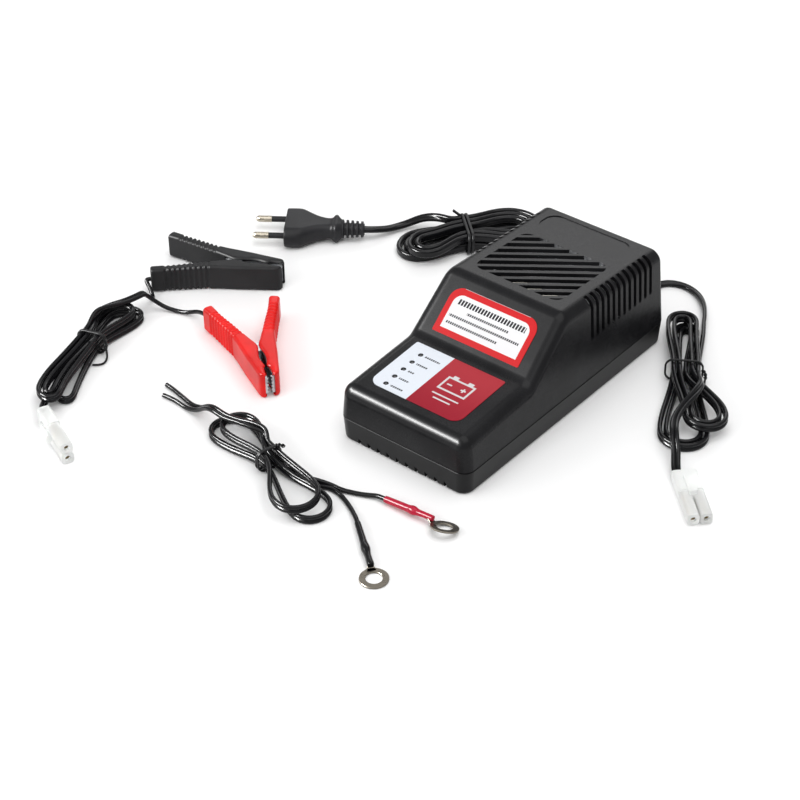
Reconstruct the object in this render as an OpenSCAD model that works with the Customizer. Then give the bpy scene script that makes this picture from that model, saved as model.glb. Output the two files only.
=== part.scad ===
// Automatic lead-acid battery charger with its mains lead, output lead,
// clip lead and ring-terminal lead laid out around it.
// Frame: millimetres, +Z up, +Y towards the rear, origin at the middle of the base.

/* [Housing] */
// Width of the housing at its parting line
body_w = 86; // [80:1:92]
// Length of the housing at its parting line
body_l = 183; // [176:1:190]
// Height of the parting line between base and cover
part_z = 14.5; // [13:0.5:16]
// Height of the indicator panel at the front edge
front_z = 34; // [32:0.5:36]
// Height of the crease where the panel meets the slope
crease_z = 37.7; // [36:0.1:39]
// Distance of the crease from the front
crease_d = 58; // [55:1:60]
// Distance of the shoulder from the front
shoulder_d = 88.8; // [86:0.2:92]
// Height of the shoulder
shoulder_z = 64.4; // [62:0.2:67]
// Height of the rear edge
rear_z = 60; // [58:0.5:62]
// Radius of the moulded edges
edge_r = 7; // [5:0.5:8]
// Thickness of the moulded walls
wall = 2.2; // [1.8:0.1:2.6]

/* [Vents] */
// Number of slanted slots in the top grille
grille_slots = 12; // [8:1:12]
// Spacing of the slanted slots
grille_pitch = 6.3; // [6:0.1:6.6]
// Width of a slanted slot
grille_slot_w = 4; // [3:0.1:4.4]
// Angle of the slanted slots from the width direction
grille_angle = 39; // [30:1:45]
// Number of slots down each side
side_slots = 12; // [6:1:12]
// Spacing of the side slots
side_pitch = 5.02; // [4.6:0.01:5.1]
// Width of a side slot
side_slot_w = 2.6; // [2:0.1:2.8]
// Number of notches along the lower front and rear edges
edge_notches = 10; // [6:1:10]

/* [Clips] */
// Height of a clip lying on its side
clip_h = 16; // [14:0.5:18]
// Length of the jaws from pivot to nose
jaw_l = 29.5; // [28:0.5:30]
// Length of the handles behind the pivot
handle_l = 46; // [42:1:50]
// Radius of the pivot pin
pivot_r = 1.5; // [1.2:0.1:1.8]
// Running clearance in the pivot, on the radius
pivot_gap = 0.05; // [0.02:0.01:0.09]
// Number of grip ribs on each handle
grip_ribs = 8; // [5:1:9]

/* [Leads] */
// Diameter of one insulated core of the low-voltage leads
core_d = 2.5; // [2.2:0.1:2.6]
// Width of the flat mains cord
mains_w = 5.2; // [5:0.1:5.4]
// Thickness of the flat mains cord
mains_t = 3.2; // [3:0.1:3.4]
// Diameter of the hole in a ring terminal
ring_hole_d = 8.6; // [8.2:0.1:9]
// Outer diameter of a ring terminal
ring_d = 15; // [14:0.1:16]

/* [Hidden] */

front_y = -body_l / 2;
rear_y = body_l / 2;
crease_y = front_y + crease_d;
shoulder_y = front_y + shoulder_d;
side_draft = 0.055;
front_draft = 0.049;
rear_draft = 0.1;
tray_taper = 1;
floor_t = 2.4;
panel_slope = (crease_z - front_z) / crease_d;
slope_rise = (shoulder_z - crease_z) / (shoulder_y - crease_y);
top_slope = (rear_z - shoulder_z) / (rear_y - shoulder_y);
groove = 0.35;
film = 0.25;
lift = 0.02;

// ---------------------------------------------------------------- helpers

// All entries of a list of lists, in one list.
function joined(lists) = [for (l = lists) each l];

// Smooth step from 0 to 1.
function ease(t) = let (c = min(max(t, 0), 1)) c * c * (3 - 2 * c);

// Corner at b of the path a-b-c, rounded by radius r in n steps.
function fillet(a, b, c, r, n) =
    let (
        p = (a - b) / norm(a - b),
        q = (c - b) / norm(c - b),
        half = acos(p * q) / 2,
        reach = r / tan(half),
        centre = b + (p + q) / norm(p + q) * r / sin(half),
        from = b + p * reach - centre,
        to = b + q * reach - centre,
        span = acos(from * to / r / r),
        side = sign(from[0] * to[1] - from[1] * to[0])
    )
    [for (i = [0:n])
        let (t = side * span * i / n)
        centre + [from[0] * cos(t) - from[1] * sin(t), from[0] * sin(t) + from[1] * cos(t)]];

// Rounded rectangle around the origin, n steps to a corner.
function round_rect(w, l, r, n = 4) =
    [for (c = [[1, 1, 0], [-1, 1, 90], [-1, -1, 180], [1, -1, 270]], i = [0:n])
        [c[0] * (w / 2 - r) + r * cos(c[2] + 90 * i / n),
         c[1] * (l / 2 - r) + r * sin(c[2] + 90 * i / n)]];

// Solid skinned over closed rings that all have the same number of points, each
// ring running anticlockwise about the direction in which the rings follow.
module skin(rings) {
    n = len(rings[0]);
    m = len(rings);
    sides = [for (i = [0:m - 2], j = [0:n - 1])
        let (k = (j + 1) % n)
        each [[i * n + j, (i + 1) * n + k, i * n + k],
              [i * n + j, (i + 1) * n + j, (i + 1) * n + k]]];
    near = [for (j = [0:n - 1]) j];
    far = [for (j = [n - 1:-1:0]) (m - 1) * n + j];
    polyhedron(points = joined(rings), faces = concat([near], sides, [far]));
}

// Points of a smooth curve through hand-set points, steps to each stretch.
// Every point may carry more than three numbers, and all are blended alike.
function spline(p, steps) =
    let (last = len(p) - 1)
    concat([for (i = [0:last - 1], k = [0:steps - 1])
        let (
            t = k / steps,
            a = p[max(i - 1, 0)],
            b = p[i],
            c = p[i + 1],
            d = p[min(i + 2, last)]
        )
        (2 * b + (c - a) * t + (2 * a - 5 * b + 4 * c - d) * t * t
            + (3 * b - a - 3 * c + d) * t * t * t) / 2], [p[last]]);

// Rings of a flat or round cord along path points [x, y, z, roll]: the roll
// turns the wide side of the section from lying flat (0) to standing (90).
function cord_rings(path, w, t, sides) =
    let (last = len(path) - 1)
    [for (i = [0:last])
        let (
            a = path[max(i - 1, 0)],
            b = path[min(i + 1, last)],
            run = [b[0] - a[0], b[1] - a[1], b[2] - a[2]],
            ahead = run / norm(run),
            flat = cross(ahead, [0, 0, 1]),
            across = flat / norm(flat),
            up = cross(across, ahead),
            roll = path[i][3],
            wide = across * cos(roll) + up * sin(roll),
            thin = up * cos(roll) - across * sin(roll)
        )
        [for (j = [0:sides - 1])
            let (s = 360 * j / sides)
            [path[i][0], path[i][1], path[i][2]]
                + wide * w / 2 * cos(s) - thin * t / 2 * sin(s)]];

// ---------------------------------------------------------------- housing

round_steps = [14, 30, 48, 68];
cover_arc = 5;

// Height of the cover's roof line at a distance along the housing.
roof_line = concat(
    fillet([front_y, front_z], [crease_y, crease_z], [shoulder_y, shoulder_z], 9, 2),
    fillet([crease_y, crease_z], [shoulder_y, shoulder_z], [rear_y, rear_z], 9, 3));

// Stations along the housing: [y, roof height, inset, lean to the front, lean to the rear].
function stations(r) = concat(
    [for (a = round_steps)
        let (y = front_y + r * (cos(round_steps[0]) - cos(a)))
        [y, front_z + panel_slope * (y - front_y), r * (1 - sin(a)), cos(a), 0]],
    [[front_y + r, front_z + panel_slope * r, 0, 0, 0]],
    [for (p = roof_line) [p[0], p[1], 0, 0, 0]],
    [[rear_y - r, rear_z - top_slope * r, 0, 0, 0]],
    [for (i = [len(round_steps) - 1:-1:0])
        let (a = round_steps[i], y = rear_y - r * (cos(round_steps[0]) - cos(a)))
        [y, rear_z + top_slope * (y - rear_y), r * (1 - sin(a)), 0, cos(a)]]);

// One arch-shaped section of the cover at a station, its feet at height foot.
function arch(s, r, shrink, foot) =
    let (
        half = body_w / 2 - shrink - s[2],
        roof = s[1] - shrink - s[2],
        c = r - s[2],
        shoulder_x = half - side_draft * (roof - part_z) - c,
        outline = concat(
            [[-half, foot]],
            [for (i = [0:cover_arc])
                let (a = 180 - 90 * i / cover_arc)
                [-shoulder_x + c * cos(a), roof - c + c * sin(a)]],
            [for (i = [0:cover_arc])
                let (a = 90 - 90 * i / cover_arc)
                [shoulder_x + c * cos(a), roof - c + c * sin(a)]],
            [[half, foot]]),
        inward = shrink * (s[3] > 0 ? 1 : s[4] > 0 ? -1 : 0)
    )
    [for (p = outline)
        let (h = p[1] - part_z)
        [p[0], s[0] + front_draft * h * s[3] - rear_draft * h * s[4] + inward, p[1]]];

// The cover as a filled form, shrunk by an inset all round.
module cover_form(shrink, foot) {
    r = edge_r - shrink;
    skin([for (s = stations(edge_r - shrink)) arch(s, r, shrink, foot)]);
}

module on_panel(x, y) {
    translate([x, y, front_z + panel_slope * (y - front_y)])
        rotate([atan(panel_slope), 0, 0]) children();
}

module on_slope(x, along) {
    angle = atan(slope_rise);
    translate([x, crease_y + along * cos(angle), crease_z + along * sin(angle)])
        rotate([angle, 0, 0]) children();
}

module on_top(x, y) {
    translate([x, y, shoulder_z + top_slope * (y - shoulder_y)])
        rotate([atan(top_slope), 0, 0]) children();
}

grille_box = [[-29, 6], [28.2, 54]];
grille_corner_r = 6;
side_slot_y = 20.2;
side_slot_z = 37.8;
side_slot_in = 34.8;
led_x = -22.4;
led_y = -46.9;
led_pitch = 7.25;
led_d = 3;
boss_x = 33;
boss_y = 77;
boss_r = 4;
notice_box = [[-29.5, 63], [25.5, 81]];

module grille_cut() {
    size = grille_box[1] - grille_box[0];
    middle = (grille_box[0] + grille_box[1]) / 2;
    translate([middle[0], middle[1], 48]) linear_extrude(24) intersection() {
        polygon(round_rect(size[0], size[1], grille_corner_r, 3));
        rotate(grille_angle) for (i = [0:grille_slots - 1])
            translate([0, (i - (grille_slots - 1) / 2) * grille_pitch])
                square([100, grille_slot_w], center = true);
    }
}

module side_slot_cut() {
    for (side = [-1, 1], i = [0:side_slots - 1])
        translate([side * (side_slot_in + 10), side_slot_y + i * side_pitch, 0])
            rotate([90, 0, 90]) translate([0, 0, -10]) linear_extrude(20) union() {
                translate([-side_slot_w / 2, side_slot_z + side_slot_w / 2])
                    square([side_slot_w, 40]);
                translate([0, side_slot_z + side_slot_w / 2])
                    circle(side_slot_w / 2, $fn = 8);
            }
}

module cover_bosses() {
    intersection() {
        for (x = [-boss_x, boss_x], y = [-boss_y, boss_y]) translate([x, y, part_z + groove])
            difference() {
                cylinder(h = 60, r = boss_r, $fn = 16);
                translate([0, 0, -1]) cylinder(h = 13, r = 1.3, $fn = 12);
            }
        cover_form(wall - 0.6, part_z);
    }
}

module top_cover() {
    notice = notice_box[1] - notice_box[0];
    middle = (notice_box[0] + notice_box[1]) / 2;
    color("#232325") difference() {
        union() {
            difference() {
                cover_form(0, part_z + groove);
                cover_form(wall, part_z - 1);
            }
            cover_bosses();
        }
        grille_cut();
        side_slot_cut();
        for (i = [0:4]) translate([led_x, led_y - i * led_pitch, 20])
            cylinder(h = 30, d = led_d + 0.6, $fn = 16);
        on_top(middle[0], middle[1]) translate([0, 0, -0.5])
            linear_extrude(2) polygon(round_rect(notice[0], notice[1], 7, 3));
    }
}

// ---------------------------------------------------------------- base tray

tray_rings = [[0, 0.9], [0.4, 0.4], [1, 0.1], [1.8, 0]];
notch_pitch = 6.4;
notch_w = 2;
entry_z = 8;
mains_entry_x = -22;
output_entry_x = 14;
grommet_r = 4;
post_x = 30;
board_z = 18;
board_front = -82;
board_rear = 4;
post_front = -66;
post_rear = -2;

function tray_ring(z, extra) =
    let (inset = tray_taper * (1 - z / part_z) + extra)
    [for (p = round_rect(body_w - 2 * inset, body_l - 2 * inset, edge_r - inset / 2, 5))
        [p[0], p[1], z]];

module rim(from, to, z0, z1) {
    translate([0, 0, z0]) linear_extrude(z1 - z0) difference() {
        polygon(round_rect(body_w - 2 * from, body_l - 2 * from, edge_r - from, 5));
        polygon(round_rect(body_w - 2 * to, body_l - 2 * to, edge_r - to, 5));
    }
}

module tray_posts() {
    for (x = [-boss_x, boss_x], y = [-boss_y, boss_y])
        translate([x, y, 1]) cylinder(h = part_z + groove - 1, r = boss_r + 0.4, $fn = 20);
    for (x = [-post_x, post_x], y = [post_front, post_rear])
        translate([x, y, 1]) cylinder(h = board_z - 1, r = 2.6, $fn = 16);
    for (x = [-core_foot_x, core_foot_x])
        translate([x, core_y, 1]) cylinder(h = core_z - 2, r = 4, $fn = 16);
}

module tray_holes() {
    for (x = [-boss_x, boss_x], y = [-boss_y, boss_y]) translate([x, y, -1]) {
        cylinder(h = 30, r = 1.7, $fn = 16);
        cylinder(h = 4.2, r = 3.4, $fn = 20);
    }
    for (x = [mains_entry_x, output_entry_x])
        translate([x, rear_y + 1, entry_z]) rotate([90, 0, 0])
            cylinder(h = 6, r = grommet_r, $fn = 24);
    for (end = [-1, 1], i = [0:edge_notches - 1])
        translate([(i - (edge_notches - 1) / 2) * notch_pitch - notch_w / 2,
            end > 0 ? rear_y - 14 : front_y - 1, -1]) cube([notch_w, 15, 2.8]);
}

module base_tray() {
    color("#1f1f21") difference() {
        union() {
            difference() {
                skin([for (t = concat(tray_rings, [[part_z - groove, 0]]))
                    tray_ring(t[0], t[1])]);
                translate([0, 0, floor_t]) linear_extrude(part_z) polygon(
                    round_rect(body_w - 2 * tray_wall, body_l - 2 * tray_wall, 4, 4));
            }
            rim(1, tray_wall, part_z - 2, part_z + groove);
            rim(wall + 0.2, wall + 1.2, part_z - 3, part_z + 2.8);
            tray_posts();
        }
        tray_holes();
    }
}
tray_wall = 3.2;

module case_screws() {
    color("#7d7f82") for (x = [-boss_x, boss_x], y = [-boss_y, boss_y])
        translate([x, y, 1.4]) difference() {
            union() {
                cylinder(h = 1.7, r = 2.9);
                cylinder(h = 20, r = 1.25);
            }
            for (a = [0, 90]) rotate(a) cube([3.4, 0.8, 1.6], center = true);
        }
}

// ---------------------------------------------------------------- labels and lamps

label_box = [[-31, -80], [28, -38.8]];
rating_box = [[-28.8, 5.6], [28.4, 33]];

// Film with rounded corners at the near end only or the far end only.
function film_outline(w, l, near_r, far_r) = concat(
    [for (c = [[1, 0], [-1, 90]], i = [0:4])
        [c[0] * (w / 2 - far_r) + far_r * cos(c[1] + 22.5 * i),
         l / 2 - far_r + far_r * sin(c[1] + 22.5 * i)]],
    [for (c = [[-1, 180], [1, 270]], i = [0:4])
        [c[0] * (w / 2 - near_r) + near_r * cos(c[1] + 22.5 * i),
         -l / 2 + near_r + near_r * sin(c[1] + 22.5 * i)]]);

module indicator_label() {
    size = label_box[1] - label_box[0];
    middle = (label_box[0] + label_box[1]) / 2;
    color("#e9ebef") difference() {
        on_panel(middle[0], middle[1]) translate([0, 0, lift]) linear_extrude(film)
            polygon(film_outline(size[0], size[1], 6, 1));
        for (i = [0:4]) translate([led_x, led_y - i * led_pitch, 20])
            cylinder(h = 30, d = led_d + 0.6);
    }
}

module rating_label() {
    size = rating_box[1] - rating_box[0];
    color("#d8202c") on_slope((rating_box[0][0] + rating_box[1][0]) / 2,
        (rating_box[0][1] + rating_box[1][1]) / 2)
        translate([0, 0, lift]) linear_extrude(film)
            polygon(film_outline(size[0], size[1], 0.8, 7.5));
}

// Five round lamps whose domes stand level with the panel, on wire legs.
module status_leds() {
    for (i = [0:4]) {
        y = led_y - i * led_pitch;
        panel = front_z + panel_slope * (y - front_y);
        color("#55575a") translate([led_x, y, 0]) rotate_extrude($fn = 16)
            polygon(concat([[0, panel - 5.6], [led_d / 2 + 0.3, panel - 5.6],
                [led_d / 2 + 0.3, panel - 4.6], [led_d / 2, panel - 4.6]],
                [for (a = [0:22.5:67.5])
                    [led_d / 2 * cos(a), panel - 1.2 + led_d / 2 * sin(a)]],
                [[0, panel - 1.2 + led_d / 2]]));
        color("#c9c9c4") for (x = [-1.27, 1.27])
            translate([led_x + x * 0.8 - 0.25, y - 0.25, board_z + board_t])
                cube([0.5, 0.5, panel - 5.6 - board_z - board_t]);
    }
}

// ---------------------------------------------------------------- electronics

board_t = 1.6;
core_y = 46;
core_z = 7.5;
core_w = 57;
core_h = 47.5;
core_stack = 24;
limb = 19;
core_foot_x = 34.5;

module circuit_board() {
    color("#2e6b3c") difference() {
        translate([-35, board_front, board_z]) cube([70, board_rear - board_front, board_t]);
        for (x = [-post_x, post_x], y = [post_front, post_rear])
            translate([x, y, board_z - 1]) cylinder(h = 4, r = 1.6);
        for (x = [-39, 28.6])
            translate([x, board_front - 1, board_z - 1]) cube([10.4, 12, 4]);
    }
}

module pan_head() {
    difference() {
        cylinder(h = 1.8, r = 2.6);
        translate([0, 0, 1.6]) for (a = [0, 90]) rotate(a)
            cube([3, 0.7, 1.2], center = true);
    }
}

module board_screws() {
    color("#b9b6a4") {
        for (x = [-post_x, post_x], y = [post_front, post_rear])
            translate([x, y, board_z + board_t]) pan_head();
        for (x = [-core_foot_x, core_foot_x]) translate([x, core_y, core_z]) pan_head();
    }
}

module transformer_core() {
    window_w = (core_w - 2 * limb / 2 - limb) / 2;
    color("#6c6f73") translate([0, core_y + core_stack / 2, core_z]) rotate([90, 0, 0])
        linear_extrude(core_stack) difference() {
            translate([-core_w / 2, 0]) square([core_w, core_h]);
            for (side = [-1, 1])
                translate([side * (limb + window_w) / 2 - window_w / 2, limb / 2])
                    square([window_w, core_h - limb]);
        }
}

module spool(half_x, half_y, z0, z1) {
    translate([0, core_y, z0]) linear_extrude(z1 - z0) difference() {
        square([2 * half_x, 2 * half_y], center = true);
        square([limb + 0.6, core_stack + 0.6], center = true);
    }
}

module transformer_bobbin() {
    low = core_z + limb / 2 + 0.3;
    high = core_z + core_h - limb / 2 - 0.3;
    color("#e3e0d2") {
        spool(limb / 2 + 1.3, core_stack / 2 + 1.3, low, high);
        for (z = [low, (low + high) / 2 - 0.5, high - 1])
            spool(18.6, 22, z, z + 1);
    }
}

module transformer_windings() {
    low = core_z + limb / 2 + 1.5;
    middle = core_z + core_h / 2;
    high = core_z + core_h - limb / 2 - 1.5;
    color("#b9772f") for (span = [[low, middle - 0.7], [middle + 0.7, high]])
        translate([0, core_y, span[0]]) linear_extrude(span[1] - span[0]) difference() {
            polygon(round_rect(35.4, 42, 3, 4));
            square([limb + 2.8, core_stack + 2.8], center = true);
        }
}

// Steel strap over the core with a foot and a screw on each side.
module transformer_bracket() {
    t = 1;
    depth = core_stack + 2;
    inner = core_w / 2 + 0.1;
    top = core_z + core_h + 0.1;
    color("#9a9da1") {
        translate([0, core_y + depth / 2, 0]) rotate([90, 0, 0]) linear_extrude(depth)
            difference() {
                translate([-inner - t, core_z - 1]) square([2 * (inner + t), top + t - core_z + 1]);
                translate([-inner, core_z - 2]) square([2 * inner, top - core_z + 2]);
            }
        for (side = [-1, 1]) difference() {
            translate([side * (inner + t + 5) - 5, core_y - 8, core_z - 1]) cube([10, 16, t]);
            translate([side * core_foot_x, core_y, core_z - 2]) cylinder(h = 4, r = 1.8);
        }
    }
}

module capacitor(x, y, r, h) {
    translate([x, y, board_z + board_t]) rotate_extrude()
        polygon([[0, 0], [r - 0.5, 0], [r, 0.8], [r, 1.8], [r - 0.5, 2.4], [r, 3],
            [r, h - 0.6], [r - 0.6, h], [0, h]]);
}

module filter_capacitors() {
    color("#2b3f6e") {
        capacitor(-22, -8, 6.5, 24);
        capacitor(-6, -8, 6.5, 24);
        capacitor(-24, -26, 4, 12);
    }
}

module rectifier_diodes() {
    color("#303033") for (i = [0:3])
        translate([-10 + i * 6, -30, board_z + board_t + 1.5]) rotate([90, 0, 0]) {
            cylinder(h = 8, r = 1.5);
            translate([0, 0, -3]) cylinder(h = 14, r = 0.4);
        }
}

module heat_sink() {
    color("#a8abae") translate([1, -5, board_z + board_t]) {
        cube([26, 1.8, 26]);
        for (i = [0:5]) translate([i * 4.8, 1.8, 0]) cube([1.4, 5, 26]);
    }
}

module power_transistor() {
    color("#1d1d1f") translate([14, -9.6, board_z + board_t + 5]) cube([10, 4.5, 9.5]);
    color("#b4b6b8") {
        translate([14, -5.1, board_z + board_t + 5]) difference() {
            translate([0, -1, 9.5]) cube([10, 1.1, 6]);
            translate([5, 1, 12.8]) rotate([90, 0, 0]) cylinder(h = 3, r = 1.7);
        }
        for (i = [0:2]) translate([16 + i * 2.6, -7.5, board_z + board_t])
            cube([0.8, 0.5, 5]);
    }
}

module control_chip() {
    color("#1b1b1d") translate([8, -52, board_z + board_t + 1]) difference() {
        cube([18, 6.4, 3.4]);
        translate([0, 3.2, 3.4]) cylinder(h = 1, r = 1, center = true);
    }
    color("#c4c6c8") for (i = [0:6], y = [-52.7, -45.6])
        translate([9 + i * 2.5, y, board_z + board_t]) cube([0.6, 0.7, 3]);
}

module mains_fuse() {
    color("#d9dcd6") translate([-14, -18.5, board_z + board_t + 3.6]) rotate([0, 90, 0])
        cylinder(h = 20, r = 2.4);
    color("#c2b280") for (x = [-16, 2]) translate([x, -18.5, board_z + board_t + 3.6])
        rotate([0, 90, 0]) difference() {
            cylinder(h = 4.4, r = 3.3);
            translate([0, 0, -1]) cylinder(h = 8, r = 2.45);
        }
    color("#c2b280") for (x = [-14.6, 3.4])
        translate([x, -19.3, board_z + board_t]) cube([1.6, 1.6, 0.4]);
}

// ---------------------------------------------------------------- cord entries

relief_l = 26;

module mains_strain_relief() {
    color("#242427") translate([mains_entry_x, rear_y - 4, entry_z]) rotate([-90, 0, 0])
        rotate_extrude($fn = 24) polygon([[0, -1], [5, -1], [5, 0.6], [3.9, 0.8],
            [3.9, 4], [5.4, 4.1], [5.4, 6], [4.6, 6.4], [4.6, 9], [3.8, 9],
            [3.8, 10.4], [4.4, 10.4], [4.4, 13], [3.6, 13], [3.6, 14.4], [4.1, 14.4],
            [4.1, 17], [3.4, 17], [3.4, 18.4], [3.8, 18.4], [3.8, 21], [3.2, 21],
            [3.2, 22.4], [3.4, 22.4], [3.3, relief_l + 4], [0, relief_l + 4]]);
}

module output_grommet() {
    color("#242427") translate([output_entry_x, rear_y - 4, entry_z]) rotate([-90, 0, 0])
        rotate_extrude($fn = 24) polygon([[0, -1], [5, -1], [5, 0.6], [3.9, 0.8],
            [3.9, 4], [5.4, 4.1], [5.4, 5.6], [4.6, 6.4], [3.4, 9], [0, 9]]);
}

// ---------------------------------------------------------------- hanks

// A hank of cord folded about a tie. Along its own axis u it reaches to a fold
// on each side, and between the folds it is drawn in at the waist. The loops
// spiral inwards on the lower layer at a steady rate, climb along a run, and
// spiral outwards on the upper layer.
// [0 middle, 1 axis angle, 2 turn direction, 3 [run, fold radius] ahead,
//  4 [run, fold radius] behind, 5 waist half-width, 6 step, 7 first turn,
//  8 turn of the climb, 9 last turn, 10 layer height, 11 bow, 12 cord height,
//  13 cord thickness]
run_share = 0.45;
climb_turn = 0.1;
tie_t = 1.1;

function hank_offset(h, s) = h[6] * min(s - h[7], 2 * h[8] - h[7] - s);

function hank_flat(h, s) =
    let (
        quarter = (s - floor(s)) * 4,
        k = floor(quarter),
        t = k % 2 == 0 ? quarter - k : 1 - quarter + k,
        half = k < 2 ? h[3] : h[4],
        off = hank_offset(h, s),
        r = half[1] - off,
        w = h[5] - off,
        run = half[0] * min(t / run_share, 1),
        fold = 90 * max((t - run_share) / (1 - run_share), 0),
        u = t < run_share ? run : half[0] + r * sin(fold),
        v = t < run_share ? w + (r - w) * ease(run / half[0]) : r * cos(fold)
    )
    [(k < 2 ? 1 : -1) * u, (k == 0 || k == 3 ? -1 : 1) * v * h[2]];

function hank_height(h, s, u) =
    h[12] / 2 + h[10] * min(max((s - h[8]) / climb_turn + 0.5, 0), 1)
        + (tie_t + 0.2) * (1 - ease(abs(u) / 26));

function hank_point(h, s) =
    let (
        p = hank_flat(h, s),
        v = p[1] + h[11] * p[0] * p[0] / 2500,
        a = h[1]
    )
    [h[0][0] + p[0] * cos(a) - v * sin(a), h[0][1] + p[0] * sin(a) + v * cos(a),
     hank_height(h, s, p[0]), 90];

// A place given along and across a hank, with its height and the cord's roll there.
function on_hank(h, u, v, z, roll) =
    let (c = cos(h[1]), d = sin(h[1]))
    [h[0][0] + u * c - v * d, h[0][1] + u * d + v * c, z, roll];

// Unit direction of the cord at a turn of the hank.
function hank_ahead(h, s) =
    let (a = hank_point(h, s - 0.004), b = hank_point(h, s + 0.004), d = b - a)
    [d[0], d[1], d[2], 0] / norm([d[0], d[1], d[2]]);

function hank_entry(h, out = 5) = hank_point(h, h[7]) - hank_ahead(h, h[7]) * out;
function hank_leave(h, out = 5) = hank_point(h, h[9]) + hank_ahead(h, h[9]) * out;

// The last points of a stretch that meets a hank, and the first of one that leaves it.
function meet_hank(h) = [for (out = [8, 6.5, 5.08]) hank_entry(h, out)];
function from_hank(h) = [for (out = [5.08, 6.5, 8]) hank_leave(h, out)];

// Points on the straight line into a fitting at a place and angle, the end last.
function into(at, angle, roll, run = 4) =
    [for (out = [run, run / 2, 0.08])
        [at[0] - out * cos(angle), at[1] - out * sin(angle), at[2], roll]];
function reversed(list) = [for (i = [len(list) - 1:-1:0]) list[i]];

function hank_path(h, per_turn) =
    let (n = ceil((h[9] - h[7]) * per_turn))
    concat([hank_entry(h)],
        [for (i = [0:n]) hank_point(h, h[7] + (h[9] - h[7]) * i / n)],
        [hank_leave(h)]);

// Least gap between two stretches of the cord that are not neighbours along it.
function hank_gap(h) =
    let (
        per = 48,
        n = ceil((h[9] - h[7]) * per),
        p = [for (i = [0:n]) hank_point(h, h[7] + (h[9] - h[7]) * i / n)]
    )
    min([for (i = [0:n - 13], j = [i + 13:n])
        let (
            flat = norm([p[i][0] - p[j][0], p[i][1] - p[j][1]]) - h[13],
            tall = abs(p[i][2] - p[j][2]) - h[12]
        )
        max(flat, tall)]);

function path_length(p) = len(p) < 2 ? 0 :
    [for (i = 1, sum = 0; i <= len(p);
        sum = sum + (i < len(p) ? norm([p[i][0] - p[i - 1][0], p[i][1] - p[i - 1][1],
            p[i][2] - p[i - 1][2]]) : 0), i = i + 1) sum][len(p) - 1];

flex_w = 2 * core_d;
mains_hank = [[-106, 101], 48, 1, [33, 18.6], [25, 18.6], 12.4, 4.4, 0.35, 3, 5.5, 5.9, -6,
    mains_w, mains_t];
output_hank = [[73, 64.5], -58.5, -1, [51, 14], [38, 14], 8, 3.4, -0.12, 2, 4, 5.7, 1,
    flex_w, core_d];
clip_hank = [[-202.2, -117.8], 108, -1, [31, 11.6], [44, 12], 6.2, 3.6, -0.1, 1.5, 3, 5.7,
    -8, flex_w, core_d];
ring_hank = [[-53.5, -135], -15, 1, [41.5, 13.4], [35.5, 12], 4.9, 3.4, 0.46, 1.5, 2.5,
    5.7, -2, flex_w, core_d];

module hank(h) {
    skin(cord_rings(hank_path(h, 24), h[12], h[13], 6));
}

// Cable tie round the waist of a hank: a band, its head and the cut tail.
module hank_tie(h, head_side) {
    band = 2.6;
    in_w = 2 * h[5] + h[13] + 0.8;
    in_h = h[12] + h[10] + 0.5;
    color("#1b1b1d") translate([h[0][0], h[0][1], 0]) rotate(h[1]) {
        translate([-band / 2, 0, 0.1]) rotate([90, 0, 90]) linear_extrude(band) difference() {
            translate([0, in_h / 2 + tie_t]) polygon(
                round_rect(in_w + 2 * tie_t, in_h + 2 * tie_t, 3.4, 4));
            translate([0, in_h / 2 + tie_t]) polygon(round_rect(in_w, in_h, 2.3, 4));
        }
        translate([-2.2, head_side * (in_w / 2 - 4.5) - 2.2, in_h + 2 * tie_t - 0.3])
            cube([4.4, 4.4, 2.9]);
        translate([-band / 2, head_side * (in_w / 2 - 4.5) - 0.5, in_h + 2 * tie_t + 2])
            cube([band, 1, 3.4]);
    }
}

echo(least_gap_mains_hank = hank_gap(mains_hank));
echo(least_gap_output_hank = hank_gap(output_hank));
echo(least_gap_clip_hank = hank_gap(clip_hank));
echo(least_gap_ring_hank = hank_gap(ring_hank));

// ---------------------------------------------------------------- free stretches

// Routes of hand-set points [x, y, z, roll].
mains_entry = [mains_entry_x, rear_y + relief_l, entry_z, 0];
mains_exit_route = concat([mains_entry, [-22, 124, 7, 0], [-24, 134, 4, 10],
    [-32, 143, 2.2, 30], [-46, 148, 2.6, 60], [-62, 146, 2.7, 90]],
    meet_hank(mains_hank));
plug_turn = 35.6;
plug_at = [-157.2, 66.4, 6.9];
mains_end_route = concat(from_hank(mains_hank),
    [[-128, 101.8, 9.4, 60], [-137, 97.8, 7.6, 30], [-144, 91.4, 4, 10], [-148.6, 84, 3, 0],
    [-150.2, 77, 4.6, 0]], into(plug_at, 180 + plug_turn, 0));
output_exit_route = concat([[output_entry_x, rear_y + 5, entry_z, 0]],
    [[14, 104, 6.4, 0], [12, 115, 2.4, 0], [10, 127, 1.4, 0], [13, 137.2, 1.4, 0],
    [22.6, 141.2, 1.4, 10], [33.4, 138.6, 1.7, 30], [45, 130.4, 2.3, 60], [54.6, 120.4, 2.6, 90]],
    meet_hank(output_hank));
output_plug_at = [118.4, -10.6, 4];
output_plug_turn = -44;
output_end_route = concat(from_hank(output_hank),
    [on_hank(output_hank, 19, 9.6, 12.6, 60), on_hank(output_hank, 29, 6.5, 13.4, 20),
    on_hank(output_hank, 40, 0.5, 12.4, 0), on_hank(output_hank, 53, -3.6, 12.3, 0),
    on_hank(output_hank, 65.4, -3.4, 12.2, 0), on_hank(output_hank, 74, -2, 8, 0)],
    into(output_plug_at, output_plug_turn, 0));
clip_plug_at = [-172.7, -182.6, 6.9];
clip_plug_turn = -24;
clip_end_route = concat(reversed(into(clip_plug_at, clip_plug_turn, 90)),
    [[-181.6, -175, 5.2, 90]], meet_hank(clip_hank));
split_z = core_d / 2;
clip_fork = [-208, -74, 12, 0];
clip_fork_heading = 80;
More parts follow.
